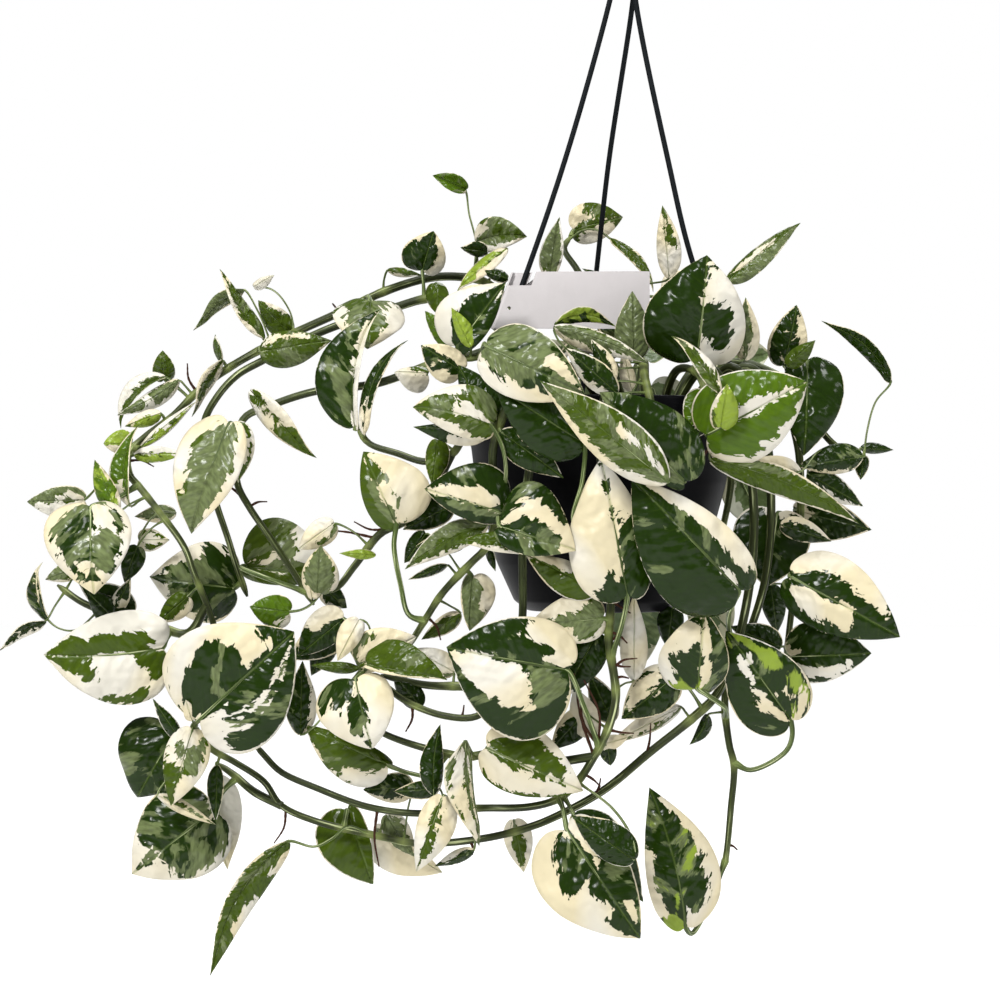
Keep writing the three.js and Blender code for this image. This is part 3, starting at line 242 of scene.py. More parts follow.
STEMS["stem_left_low"] = {
    "hole": (-34, -57),
    "route": (
        (-52, -306, -84), (-72, -322, -98), (-84, -350, -94), (-84, -378, -86), (-84, -400, -80),
        (-89, -413, -78), (-97, -421, -76), (-115, -440, -72), (-126, -457, -68),
        (-133, -468, -62), (-141, -478, -54),
    ),
    "roots": (
        ((-124, -454, -69), (-116, -468, -66)),
    ),
    "leaves": (
        (-86, -339, -104, -134, -328, -100, 12, 18, 4, 6, -2, 4,
         "M5 cR0-5@0-4 cR5-10@7 cL5-8@5 cL0-10@9",
         ((-84, -390, -83), (-77, -372, -96), (-79, -352, -104))),
        (-86, -343, -96, -133, -340, -92, 9, 4, 4, 2, 0, 2, "D2 cL0-6@4"),
        (-87, -338, -96, -106, -302, -88, 8, 13, 4, 6, 0, 3, "D1"),
        (-80, -343, -101, -42, -371, -103, 10, 10, 2, 2, 0, 1, "D0"),
        (-80, -400, -108, -34, -414, -112, 29, 11, 8, -4, 0, 4, "D5 cL1-9@3-6 cA8-10@0"),
        (-46, -409, -104, -108, -408, -104, 7, 7, -3, 3, 0, 2, "M2 cL0-8@6 cA0-2@2",
         ((-84, -403, -80), (-72, -404, -96), (-58, -406, -97), (-49, -408, -98))),
        (-80, -391, -99, -127, -377, -93, 10, 24, 4, 6, 0, 4, "D3 gL0-10@0-6 cR2-9@0-4"),
        (-88, -399, -88, -138, -426, -80, 8, 9, 3, 3, -3, 1, "M2 cL0-10@7 gR0-9@2"),
        (-100, -404, -76, -132, -412, -68, 9, 5, 3, 3, 0, 2, "D2 cR0-10@7"),
        (-143, -398, -74, -163, -354, -68, 12, 27, 3, 5, 0, 4,
         "M2 gL0-10@0-5 cR1-9@3 gR0-6@0-3 cR3-6@0-2",
         ((-126, -457, -68), (-135, -453, -70), (-140, -435, -72), (-144, -412, -73))),
        (-97, -430, -70, -99, -463, -74, 14, 6, 4, 4, 0, 2, "G6 cL0-6@5 cR0-10@9 cA0-1@3"),
        (-104, -452, -62, -128, -468, -58, 6, 5, 3, 3, 0, 1, "M2 cR0-10@6"),
        (-87, -413, -72, -83, -427, -70, 2, 3, 3, 3, 0, 1, "D1"),
        (-112, -423, -66, -136, -432, -62, 3, 3, 3, 3, 0, 1, "D0"),
        (-109, -387, -62, -139, -402, -58, 8, 9, 3, 3, 0, 2, "D1"),
        (-125, -404, -66, -138, -422, -62, 7, 6, 3, 3, 0, 1, "D1"),
    ),
}
STEMS["stem_crown_left"] = {
    "hole": (-40, -32),
    "route": (
        (-52, -303, -52), (-74, -296, -66), (-92, -298, -72), (-104, -300, -72),
    ),
    "leaves": (
        (-88, -292, -114, -28, -322, -126, 21, 20, 6, 6, 0, 6, "D7 cR2-10@6 cL6-10@3-7 cR0-10@9"),
        (-106, -292, -74, -77, -253, -70, 23, 9, 6, -4, 0, 4, "D2 cL0-10@5"),
        (-112, -292, -58, -126, -270, -54, 4, 8, 3, 3, 0, 2, "B3"),
        (-98, -292, -80, -110, -268, -78, 4, 6, 3, 3, 0, 1, "Y0"),
        (-104, -306, -76, -128, -291, -78, 12, 9, 3, 3, 0, 2, "D2 cR0-10@3 cL0-6@5"),
        (-107, -264, -50, -86, -255, -48, 5, 6, 3, 3, 0, 1, "M3 cL0-10@6"),
    ),
}
STEMS["stem_inner"] = {
    "hole": (-24, -62),
    "route": (
        (-40, -304, -92), (-54, -325, -98), (-60, -350, -94), (-66, -390, -90), (-67, -415, -88),
        (-67, -455, -86), (-72, -485, -82), (-84, -505, -78), (-95, -514, -75), (-116, -513, -71),
        (-138, -504, -68), (-150, -495, -66), (-164, -486, -65),
    ),
    "shoots": (
        ((-80, -500, -79), (-100, -496, -64), (-125, -495, -60), (-152, -489, -60)),
    ),
    "roots": (
        ((-133, -506, -68), (-137, -523, -66)), ((-105, -514, -73), (-102, -507, -72)),
    ),
    "leaves": (
        (-164, -482, -70, -130, -466, -74, 16, 8, 3, 3, 0, 3, "C0 gL0-5@7 mR0-2@1"),
        (-160, -483, -78, -112, -491, -90, 17, 3, 5, -3, 0, 2, "M3 cR0-10@7"),
        (-165, -485, -70, -195, -483, -66, 4, 3, 3, 3, 0, 1, "M2"),
        (-167, -492, -82, -157, -535, -92, 19, 26, 5, 6, 0, 6, "D2 cL0-10@1 cR5-10@4"),
        (-174, -455, -58, -202, -478, -52, 8, 14, 3, 3, 0, 2, "D2 cR0-6@3",
         ((-164, -486, -65), (-167, -470, -60))),
        (-165, -456, -76, -178, -481, -78, 6, 8, 3, 3, 0, 1, "C1",
         ((-158, -490, -65), (-157, -472, -68), (-160, -458, -73))),
        (-182, -464, -48, -194, -490, -42, 8, 7, 3, 3, 0, 1, "D1",
         ((-164, -486, -65), (-172, -472, -54))),
        (-173, -461, -50, -208, -480, -46, 10, 12, 3, 3, 0, 2, "D1 cR0-8@7"),
        (-128, -508, -64, -145, -487, -58, 7, 7, 3, 3, 0, 2, "D1"),
        (-108, -487, -60, -134, -473, -56, 8, 8, 3, 3, 0, 2, "C0 gL0-5@5"),
        (-200, -525, -50, -199, -480, -48, 9, 9, 3, 3, 0, 2, "D1 cR0-10@7",
         ((-164, -486, -65), (-180, -505, -60), (-192, -520, -54))),
    ),
}
STEMS["stem_centre"] = {
    "hole": (-10, -62),
    "route": (
        (-16, -306, -92), (-18, -325, -102), (-20, -350, -100), (-18, -380, -96), (-15, -420, -94),
        (-14, -445, -94), (-15, -468, -94), (-11, -504, -92), (-18, -527, -88), (-24, -538, -85),
        (-33, -552, -81), (-45, -563, -77), (-62, -568, -73), (-95, -569, -66), (-130, -572, -60),
        (-160, -568, -56), (-190, -557, -52), (-212, -547, -50), (-222, -537, -48),
        (-228, -530, -46),
    ),
    "shoots": (
        ((-24, -538, -85), (-50, -541, -76), (-85, -536, -72), (-100, -538, -70),
         (-125, -533, -67), (-146, -526, -64), (-158, -520, -60)),
    ),
    "roots": (
        ((-24, -530, -86), (-32, -498, -92)), ((-15, -522, -88), (0, -524, -92)),
        ((-155, -569, -56), (-153, -604, -60)), ((-12, -492, -93), (-3, -491, -94)),
        ((-13, -468, -94), (-6, -456, -96)), ((-30, -550, -82), (-20, -556, -84)),
        ((-24, -538, -85), (-36, -488, -94)), ((-22, -534, -86), (-30, -492, -95)),
        ((-12, -486, -94), (2, -479, -98)), ((-11, -480, -94), (-2, -484, -97)),
        ((-14, -445, -94), (-2, -452, -98)), ((-15, -462, -94), (-4, -470, -98)),
    ),
    "leaves": (
        (-30, -350, -110, -84, -316, -113, 19, 10, 4, 4, 0, 4, "D0 cR0-3@7",
         ((-16, -408, -95), (-36, -398, -104), (-31, -372, -108))),
        (-4, -441, -108, -20, -357, -106, 28, 18, 6, 4, 0, 5, "D3 cL2-10@0 dL0-3@3 cR6-10@0",
         ((-14, -478, -93), (-7, -458, -100))),
        (-22, -438, -102, -66, -416, -98, 12, 8, 4, 3, 0, 3, "M2 cR2-10@2"),
        (-19, -455, -98, -64, -459, -100, 13, 15, 4, 4, 0, 4, "G4 cR4-10@3 cL5-10@2 cL0-10@8"),
        (-22, -464, -90, -44, -504, -86, 12, 13, 3, 3, 0, 3, "D1 c~2"),
        (0, -492, -74, 0, -440, -82, 8, 8, 3, 3, 0, 2, "C0 g~3"),
        (-40, -486, -106, -114, -472, -104, 44, 26, 6, 6, 0, 8,
         "D3 cR1-5@2 dR3-10@0-5 cL4-10@0-6 gL1-4@0-7 cL0-2@8",
         ((-25, -530, -86), (-30, -508, -96))),
        (-88, -533, -86, -30, -559, -96, 22, 18, 5, 4, 0, 4,
         "C0 dL1-8@0-7 dR0-3@0-3 dR3-8@0-2 dR3-9@9"),
        (-120, -561, -80, -116, -518, -76, 8, 6, 3, 3, 2, 2, "D2 cR0-3@7"),
        (-101, -529, -90, -90, -592, -84, 3, 13, 4, -5, -3, 1, "G5 cR1-9@2-8 cL2-8@2-5 dL3-10@8"),
        (-115, -562, -92, -131, -608, -96, 13, 9, 4, 3, 0, 3, "C0 dA1-9@0-2 mL3-8@2-4"),
        (-96, -594, -80, -120, -604, -76, 4, 4, 3, 3, 0, 1, "D2 cR0-8@4"),
        (-117, -557, -76, -145, -559, -72, 6, 5, 3, 3, 0, 1, "D3"),
        (-148, -543, -60, -199, -518, -52, 20, 6, 5, 3, 0, 4, "M3 cL0-5@6 cL5-10@9",
         ((-112, -536, -69), (-122, -549, -68), (-134, -548, -64))),
        (-36, -573, -90, 6, -626, -82, 17, 10, 4, 4, 0, 4, "D0"),
        (-40, -582, -96, 5, -649, -106, 20, 33, 5, 6, 0, 7,
         "D3 cR0-10@6 cR5-7@2 cL0-4@2 cR0-1@1 cL7-9@3-7"),
        (-30, -512, -74, -50, -534, -70, 9, 8, 3, 3, 0, 2, "D1 cR0-10@6"),
        (-16, -531, -78, -14, -544, -74, 5, 5, 3, 3, 0, 1, "D2"),
        (-86, -534, -82, -89, -545, -80, 6, 5, 3, 3, 0, 1, "C0"),
        (-25, -525, -74, -36, -496, -72, 9, 8, 3, 3, 0, 2, "C2"),
        (-13, -517, -66, -27, -487, -64, 8, 8, 3, 3, 0, 2, "D0"),
        (-20, -531, -80, -3, -526, -76, 4, 5, 3, 3, 0, 1, "C1"),
        (0, -600, -116, -38, -573, -112, 10, 12, 4, 4, 0, 4, "D0",
         ((-33, -552, -81), (-12, -570, -100), (-1, -588, -114))),
    ),
}
STEMS["stem_outer"] = {
    "hole": (24, -50),
    "route": (
        (44, -304, -66), (60, -325, -72), (68, -350, -70), (71, -375, -66), (72, -395, -64),
        (70, -430, -64), (62, -470, -64), (50, -500, -64), (35, -515, -64), (10, -535, -62),
        (-18, -558, -58), (-45, -573, -54), (-62, -580, -52), (-90, -587, -50), (-130, -590, -46),
        (-156, -585, -44), (-190, -577, -42), (-212, -567, -42), (-222, -553, -42),
        (-240, -541, -44), (-254, -533, -48), (-264, -520, -54),
    ),
    "shoots": (
        ((-212, -567, -42), (-228, -559, -38), (-240, -549, -34), (-250, -542, -32)),
    ),
    "roots": (
        ((-210, -570, -42), (-216, -590, -44)), ((8, -537, -62), (10, -518, -66)),
        ((-25, -562, -58), (-20, -551, -62)), ((-98, -588, -50), (-97, -597, -52)),
    ),
    "leaves": (
        (63, -438, -108, -2, -370, -118, 34, 20, 6, 5, 0, 7, "D2 cR3-9@5 cR1-3@0-4 dR1-3@4-9",
         ((60, -474, -64), (57, -461, -69), (57, -452, -84), (60, -445, -100))),
        (24, -490, -74, -8, -516, -70, 13, 14, 3, 3, 0, 2, "D4 cR3-8@2-8"),
        (28, -508, -58, -16, -531, -60, 6, 6, 3, 3, 0, 1, "C2 gL0-10@5"),
        (-172, -570, -30, -156, -616, -32, 8, 24, 3, 5, 0, 4, "M0"),
        (-154, -582, -28, -114, -608, -26, 6, 18, 3, 4, 0, 2, "C0 gL0-4@0-6"),
        (-72, -576, -38, -66, -608, -36, 9, 8, 3, 3, 0, 1, "C0 dA1-8@0-4"),
        (-208, -589, -42, -252, -671, -52, 12, 6, 4, -4, -10, 2, "M3 cL2-4@6 cL5-7@5 cR0-10@9",
         ((-158, -585, -44), (-172, -580, -50), (-181, -587, -50), (-192, -592, -46))),
        (-261, -516, -72, -203, -462, -70, 42, 36, 6, 6, 0, 8,
         "D3 cL0-10@7 dL0-4@9 cL6-8@1 dL8-10@0 cR0-9@4-6 gR2-8@5-6 cR0-3@2"),
        (-276, -524, -36, -299, -564, -32, 20, 27, 5, 6, 0, 5, "D4"),
        (-265, -522, -60, -278, -568, -66, 14, 12, 4, 4, 0, 4,
         "C0 gL3-6@0-8 mR5-10@0-10 gR3-5@0-5 cL7-10@2"),
        (-286, -561, -58, -251, -579, -60, 4, 4, 3, 3, 0, 1, "C0 gL2-10@0-6"),
        (-250, -543, -46, -251, -578, -48, 4, 6, 3, 3, 0, 1, "D0"),
        (-254, -571, -34, -302, -609, -40, 28, 28, 6, 6, 0, 6,
         "D6 cL7-10@1 cR7-10@3 cA0-1@3 cL0-6@9"),
        (-272, -528, -58, -289, -503, -60, 5, 4, 3, 3, 0, 1, "D1"),
        (-265, -516, -70, -269, -504, -76, 4, 4, 3, 3, 0, 1, "C0"),
        (-149, -573, -40, -131, -599, -38, 8, 8, 3, 3, 0, 2, "G4 cL0-10@6"),
        (-133, -556, -46, -163, -558, -42, 9, 9, 3, 3, 0, 2, "D3 cL0-10@7"),
        (-251, -549, -18, -245, -607, -20, 14, 5, 3, 3, 0, 2, "C0"),
    ),
}
STEMS["stem_right_long"] = {
    "hole": (38, -34),
    "route": (
        (58, -304, -46), (74, -325, -52), (80, -350, -50), (82, -375, -48), (82, -400, -46),
        (78, -435, -48), (66, -472, -50), (55, -498, -52), (57, -530, -54), (60, -543, -54),
        (58, -570, -52), (56, -592, -52), (54, -606, -52),
    ),
    "roots": (
        ((57, -592, -52), (62, -594, -50)),
    ),
    "leaves": (
        (94, -516, -66, 55, -462, -78, 24, 22, 5, 5, 0, 6,
         "D2 cL1-8@1-4 yR3-10@5-8 cR0-4@4-9 yR0-3@3-5",
         ((60, -543, -54), (70, -546, -58), (91, -535, -62), (95, -525, -64))),
        (38, -497, -86, 42, -449, -94, 23, 17, 5, 5, 0, 5,
         "D3 cL5-8@2 cL0-8@7 yL0-3@6 cR1-10@0-4 yR0-2@0-3",
         ((56, -514, -53), (54, -508, -74), (44, -501, -84))),
        (31, -640, -64, 9, -556, -60, 18, 25, 5, 5, -3, 6,
         "D4 cR0-8@7 cR0-2@2 yL0-3@2 cL3-6@7 cR8-9@5 y~2",
         ((55, -600, -52), (46, -624, -50), (35, -644, -55))),
        (44, -513, -62, 33, -531, -58, 5, 3, 3, 3, 2, 0, "D0"),
        (23, -449, -30, 20, -473, -28, 8, 8, 3, 3, 0, 1, "D0",
         ((66, -472, -50), (50, -455, -40), (34, -446, -34))),
    ),
}
STEMS["stem_right"] = {
    "hole": (46, -6),
    "route": (
        (66, -304, -10), (88, -322, -14), (98, -350, -16), (100, -385, -18), (98, -420, -22),
        (94, -455, -26), (91, -480, -30),
    ),
    "leaves": (
        (86, -392, -34, 79, -437, -38, 22, 24, 4, 5, 0, 4, "D2 cA0-2@2 cR0-2@0"),
        (88, -399, -44, 119, -409, -40, 8, 6, 3, 3, 0, 2, "D2 cL0-10@5"),
        (96, -390, -6, 143, -402, -16, 12, 14, 3, 4, 0, 3, "D3 cA1-3@0"),
        (94, -430, -56, 161, -467, -66, 25, 20, 5, 5, 0, 6, "D2 cL1-8@5 cR2-6@1-7"),
        (94, -478, -46, 143, -476, -52, 20, 16, 4, 4, 0, 4, "D2 cR1-7@4-8 cA0-1@2 cL0-2@3"),
        (88, -472, -54, 58, -460, -57, 8, 9, 1, 1, 0, 0, "D1"),
        (82, -435, -8, 86, -465, -4, 8, 7, 3, 3, 0, 2, "D0"),
    ),
}
STEMS["stem_crown_right"] = {
    "hole": (16, -38),
    "route": (
        (26, -306, -58), (38, -308, -76), (45, -326, -86), (46, -348, -88),
    ),
    "roots": (
        ((44, -345, -88), (38, -362, -92)),
    ),
    "leaves": (
        (38, -299, -78, 44, -236, -84, 33, 26, 6, 6, 0, 8, "D0 cR0-9@0 dR3-6@0-7 dR9-10@0"),
        (52, -320, -116, 23, -284, -112, 5, 5, -3, 3, -2, 2, "M5 cR0-10@5"),
        (52, -340, -114, 56, -314, -120, 7, 9, 3, 3, 0, 2, "Y0 cL0-10@8"),
        (44, -345, -100, 106, -312, -106, 26, 26, 6, 6, 0, 6, "B1 cL3-10@0-2 cR0-10@8"),
        (42, -320, -74, 32, -342, -80, 6, 9, 3, 3, 0, 2, "B1"),
        (66, -300, -60, 67, -262, -58, 6, 9, 3, 3, 0, 2, "G4 cR0-10@5 cL0-3@3"),
        (55, -253, -46, 100, -216, -34, 5, 8, 4, -3, 0, 2, "M4 cL2-7@0-5 gR0-9@2",
         ((36, -307, -74), (47, -285, -64), (53, -265, -50))),
        (46, -360, -98, 137, -399, -84, 8, 9, 4, 4, 5, 4, "M2 gL1-5@2-7 cL0-10@9"),
        (46, -334, -92, 35, -348, -90, 4, 4, 3, 3, 0, 1, "D2"),
    ),
}
STEMS["stem_crown_far"] = {
    "hole": (36, 8),
    "route": (
        (58, -302, 2), (84, -308, -6), (102, -322, -14), (112, -342, -22), (126, -355, -28),
        (138, -357, -30),
    ),
    "leaves": (
        (90, -303, -34, 98, -266, -38, 12, 11, 4, 4, 0, 3, "D1 cR2-8@4 c~3"),
        (104, -300, -34, 102, -358, -46, 22, 14, 4, 4, 0, 5, "D0 cR0-2@5"),
        (137, -358, -36, 98, -364, -44, 8, 10, 3, 3, 0, 2, "D4 cL0-10@8"),
        (154, -313, -24, 112, -278, -20, 5, 4, 4, -3, -7, 1, "D1",
         ((137, -356, -30), (140, -342, -28), (145, -325, -26))),
        (100, -367, -58, 66, -361, -62, 3, 7, 3, 3, 0, 1, "C0 mL0-4@4"),
        (92, -303, -48, 109, -288, -50, 5, 6, 3, 3, 0, 1, "M2"),
        (136, -353, -24, 156, -354, -20, 4, 3, 3, 3, 0, 1, "D2"),
        (104, -368, -40, 138, -388, -36, 8, 8, 3, 3, 0, 2, "D1 cR3-8@5"),
        (138, -358, -30, 136, -372, -32, 4, 5, 3, 3, 0, 1, "D0"),
    ),
}
STEMS["stem_crown_front"] = {
    "hole": (4, -56),
    "route": (
        (6, -302, -70), (6, -308, -92), (10, -325, -106), (16, -350, -108), (22, -372, -108),
    ),
    "leaves": (
        (20, -373, -132, -57, -312, -138, 14, 15, 5, 4, 0, 6, "M5 cL0-10@7 gR0-6@1-7 cR1-5@3-6"),
        (30, -373, -118, -22, -318, -122, 10, 25, 4, 6, 0, 6, "D4 gL0-10@0-8"),
        (-47, -278, -90, -11, -281, -82, 5, 4, -3, 4, 6, 3, "D1 y~5 yL0-5@4",
         ((4, -302, -78), (-20, -300, -92), (-42, -288, -92))),
        (-48, -280, -94, 10, -302, -98, 5, 8, 4, 4, 2, 4, "G6 cL0-10@8 cR0-8@7",
         ((4, -304, -84), (-20, -304, -99), (-44, -290, -97))),
        (0, -300, -66, -1, -258, -62, 11, 10, 4, 4, 0, 3, "G5 cL0-3@5"),
        (-1, -319, -88, -7, -294, -84, 5, 4, 3, 3, 0, 1, "C2"),
        (-12, -312, -104, -26, -287, -103, 5, 6, 3, 3, 0, 1, "D2 cR0-10@6"),
        (-10, -320, -110, -42, -292, -109, 8, 8, 3, 3, 0, 1, "D2 cL0-10@6"),
    ),
}
STEMS["stem_crown_back"] = {
    "hole": (-16, 38),
    "route": (
        (-18, -302, 42), (-22, -270, 50), (-34, -246, 58), (-42, -233, 62), (-38, -226, 66),
    ),
    "leaves": (
        (-36, -222, 70, -6, -214, 74, 15, 11, 4, 4, 0, 3, "M3 cL0-5@2 cR3-8@2"),
        (-51, -252, 22, -45, -214, 16, 8, 6, 3, -5, 0, 2, "G5 cL0-3@4 cR0-10@9"),
        (-14, -227, 62, 13, -258, 40, 4, 4, 4, -4, 4, 1, "M1 cL0-10@7",
         ((-38, -228, 65), (-30, -222, 66), (-22, -222, 65))),
        (21, -251, 8, 17, -206, 10, 6, 9, 2, 2, 0, 2, "C0 mR5-10@0-7"),
        (20, -262, 60, 46, -252, 78, 14, 14, 4, 4, 0, 4, "M4 cL0-10@6"),
        (-40, -270, 60, -62, -262, 84, 12, 12, 4, 4, 0, 3, "D3 cR0-10@6"),
        (-14, -254, 34, -31, -245, 28, 3, 3, 2, 2, 0, 1, "D2"),
    ),
}
STEMS["stem_middle"] = {
    "hole": (-12, 2),
    "route": (
        (-14, -306, 2), (-13, -294, 1), (-8, -286, -3),
    ),
    "leaves": (
        (-18, -294, 6, -48, -300, 20, 4, 4, -15, 15, -4, 0, "D3 cL3-9@3 gR4-9@3"),
        (-12, -292, 12, -12, -298, 44, 15, 15, 2, 2, 0, 0, "M4 cA0-10@7"),
        (-4, -292, 8, 26, -298, 26, 4, 4, 15, -15, 4, 0, "D3 cL0-10@6"),
        (-2, -290, -8, 28, -298, -20, 4, 4, 14, -14, 4, 0, "D2 cR0-10@5 cL6-10@5"),
        (-18, -290, -6, -46, -298, -16, 4, 4, -14, 14, -4, 0, "M3 cR2-10@4"),
        (-8, -284, 2, -16, -260, 10, 12, 12, 3, 3, 0, 2, "D4 cA7-10@3"),
    ),
}
STEMS["stem_back_left"] = {
    "hole": (-46, 44),
    "route": (
        (-56, -304, 60), (-72, -312, 82), (-78, -340, 92), (-76, -375, 92), (-72, -400, 88),
    ),
    "leaves": (
        (-66, -296, 86, -92, -300, 118, 18, 18, -4, -4, 0, -4, "D3 cL3-9@3 gR4-9@3"),
        (-84, -322, 98, -96, -356, 108, 17, 17, -4, -4, 0, -4, "M4 cA0-10@7"),
        (-66, -340, 104, -48, -382, 118, 20, 20, -4, -4, 0, -5, "D3 cL0-10@6"),
        (-78, -366, 100, -96, -402, 96, 14, 14, -4, -4, 0, -4, "D2 cR0-10@5 cL6-10@5"),
        (-72, -398, 92, -60, -440, 98, 16, 18, -4, -4, 0, -4, "M3 cR2-10@4"),
        (-58, -304, 70, -40, -290, 108, 15, 15, -4, -4, 0, -4, "D4 cA7-10@3"),
    ),
}
STEMS["stem_back_middle"] = {
    "hole": (2, 58),
    "route": (
        (2, -304, 76), (2, -314, 98), (0, -345, 108), (-2, -380, 106), (-4, -415, 98),
        (-6, -445, 92),
    ),
    "roots": (
        ((-2, -380, 106), (-8, -390, 112)),
    ),
    "leaves": (
        (-8, -306, 104, -30, -340, 126, 20, 20, -4, -4, 0, -5, "D3 cL3-9@3 gR4-9@3"),
        (10, -316, 112, 30, -352, 124, 19, 19, -4, -4, 0, -5, "M4 cA0-10@7"),
        (-10, -352, 120, -34, -392, 124, 19, 19, -4, -4, 0, -5, "D3 cL0-10@6"),
        (8, -376, 118, 28, -418, 120, 21, 21, -4, -4, 0, -5, "D2 cR0-10@5 cL6-10@5"),
        (-12, -408, 110, -30, -448, 108, 18, 18, -4, -4, 0, -4, "M3 cR2-10@4"),
        (0, -442, 98, 4, -486, 96, 17, 17, -4, -4, 0, -4, "D4 cA7-10@3"),
        (4, -298, 92, 8, -282, 124, 16, 16, -4, -4, 0, -4, "D3 cL3-9@3 gR4-9@3"),
    ),
}
STEMS["stem_back_right"] = {
    "hole": (26, 42),
    "route": (
        (38, -304, 54), (52, -312, 70), (58, -340, 78), (58, -375, 78), (50, -415, 74),
        (44, -440, 70),
    ),
    "leaves": (
        (50, -300, 64, 82, -296, 84, 16, 16, -4, -4, 0, -4, "M4 cA0-10@7"),
        (64, -318, 80, 84, -350, 92, 17, 17, -4, -4, 0, -4, "D3 cL0-10@6"),
        (52, -340, 92, 36, -380, 106, 17, 17, -4, -4, 0, -4, "D2 cR0-10@5 cL6-10@5"),
        (62, -368, 84, 80, -404, 84, 16, 16, -4, -4, 0, -4, "M3 cR2-10@4"),
        (50, -404, 84, 34, -444, 90, 17, 17, -4, -4, 0, -4, "D4 cA7-10@3"),
        (44, -438, 72, 50, -478, 70, 15, 15, -4, -4, 0, -4, "D3 cL3-9@3 gR4-9@3"),
    ),
}

# The edge of a blade as (share of the length, share of the half width), base to tip
HEART = ((0, 0), (-0.05, 0.2), (-0.055, 0.42), (0, 0.7), (0.12, 0.92), (0.28, 1.0), (0.46, 0.94),
         (0.64, 0.74), (0.8, 0.46), (0.92, 0.19), (1, 0))
OVAL = ((0, 0), (0, 0.16), (0.03, 0.38), (0.1, 0.66), (0.22, 0.92), (0.37, 1.0), (0.53, 0.9),
        (0.69, 0.66), (0.83, 0.37), (0.93, 0.15), (1, 0))

# A patch is a depth in millimetres inside its border. FAR lies past all that breaks up a border,
# and mottling starts at UNMOTTLED and grows with its share.
FAR = 40.0
UNMOTTLED = -5.5
PATCH = re.compile(r"([cgydmb])([LRA])(\d+)-(\d+)@(\d+)(?:-(\d+))?")

# Fixed tints of the finishes
CREAM_VEIN = (0.40, 0.41, 0.22)
UNDERSIDE = (0.20, 0.27, 0.13)
STEM_STREAK = (0.42, 0.46, 0.24)
STEM_KNOT = (0.30, 0.36, 0.10)
STALK_STREAK = (0.50, 0.54, 0.30)
STALK_KNOT = (0.34, 0.42, 0.12)
SCUFFED_PLASTIC = (0.022, 0.021, 0.020)
SOIL_FLECK = (0.22, 0.15, 0.085)


# The kinds of property that a user can change
LENGTH = {"subtype": "DISTANCE", "unit": "LENGTH"}
COLOUR = {"subtype": "COLOR", "min": 0, "max": 1}


class PLANT_PG_foliage(bpy.types.PropertyGroup):
    blade_thickness: bpy.props.FloatProperty(
        name="Blade Thickness", description="Thickness of a leaf's blade",
        default=0.0006, min=0.0002, max=0.002, **LENGTH)
    stem_radius: bpy.props.FloatProperty(
        name="Stem Radius", description="Radius of a stem between its nodes",
        default=0.0026, min=0.001, max=0.006, **LENGTH)
    stalk_radius: bpy.props.FloatProperty(
        name="Stalk Radius", description="Radius of the stalk of a large leaf",
        default=0.0013, min=0.0004, max=0.004, **LENGTH)
    root_radius: bpy.props.FloatProperty(
        name="Root Radius", description="Radius of an aerial root where it leaves the stem",
        default=0.0009, min=0.0003, max=0.003, **LENGTH)
    vein_spacing: bpy.props.FloatProperty(
        name="Vein Spacing", description="Distance between the side veins of a large leaf",
        default=0.0065, min=0.002, max=0.02, **LENGTH)
    dark_green: bpy.props.FloatVectorProperty(
        name="Dark Green", description="Colour of an old leaf's green parts",
        default=(0.010, 0.025, 0.001), **COLOUR)
    middle_green: bpy.props.FloatVectorProperty(
        name="Middle Green", description="Colour of a grown leaf's green parts",
        default=(0.053, 0.086, 0.005), **COLOUR)
    bright_green: bpy.props.FloatVectorProperty(
        name="Bright Green", description="Colour of a young leaf's green parts",
        default=(0.072, 0.135, 0.006), **COLOUR)
    grey_green: bpy.props.FloatVectorProperty(
        name="Grey Green", description="Colour of the grey-green patches",
        default=(0.122, 0.152, 0.060), **COLOUR)
    yellow_green: bpy.props.FloatVectorProperty(
        name="Yellow Green", description="Colour of the newest green parts",
        default=(0.185, 0.255, 0.028), **COLOUR)
    cream: bpy.props.FloatVectorProperty(
        name="Cream", description="Colour of the pale patches",
        default=(0.540, 0.475, 0.315), **COLOUR)
    white: bpy.props.FloatVectorProperty(
        name="White", description="Colour of the palest patches",
        default=(0.550, 0.525, 0.455), **COLOUR)
    stem_green: bpy.props.FloatVectorProperty(
        name="Stem Green", description="Colour of the stems",
        default=(0.044, 0.058, 0.013), **COLOUR)
    stalk_green: bpy.props.FloatVectorProperty(
        name="Stalk Green", description="Colour of the leaf stalks",
        default=(0.095, 0.140, 0.032), **COLOUR)
    root_brown: bpy.props.FloatVectorProperty(
        name="Root Brown", description="Colour of the aerial roots",
        default=(0.040, 0.016, 0.009), **COLOUR)


class PLANT_PG_pot(bpy.types.PropertyGroup):
    rim_radius: bpy.props.FloatProperty(
        name="Rim Radius", description="Outer radius of the pot's rim",
        default=0.086, min=0.04, max=0.3, **LENGTH)
    base_radius: bpy.props.FloatProperty(
        name="Base Radius", description="Radius of the pot's flat bottom",
        default=0.044, min=0.02, max=0.3, **LENGTH)
    height: bpy.props.FloatProperty(
        name="Height", description="Height of the pot from bottom to rim",
        default=0.126, min=0.05, max=0.4, **LENGTH)
    wall: bpy.props.FloatProperty(
        name="Wall", description="Thickness of the pot's wall",
        default=0.0024, min=0.001, max=0.01, **LENGTH)
    plastic: bpy.props.FloatVectorProperty(
        name="Plastic", description="Colour of the pot",
        default=(0.0030, 0.0030, 0.0036), **COLOUR)
    soil: bpy.props.FloatVectorProperty(
        name="Soil", description="Colour of the potting soil",
        default=(0.030, 0.018, 0.010), **COLOUR)
    crumb_density: bpy.props.FloatProperty(
        name="Crumb Density", description="Crumbs of soil to a square metre",
        default=90000, min=0, max=200000)


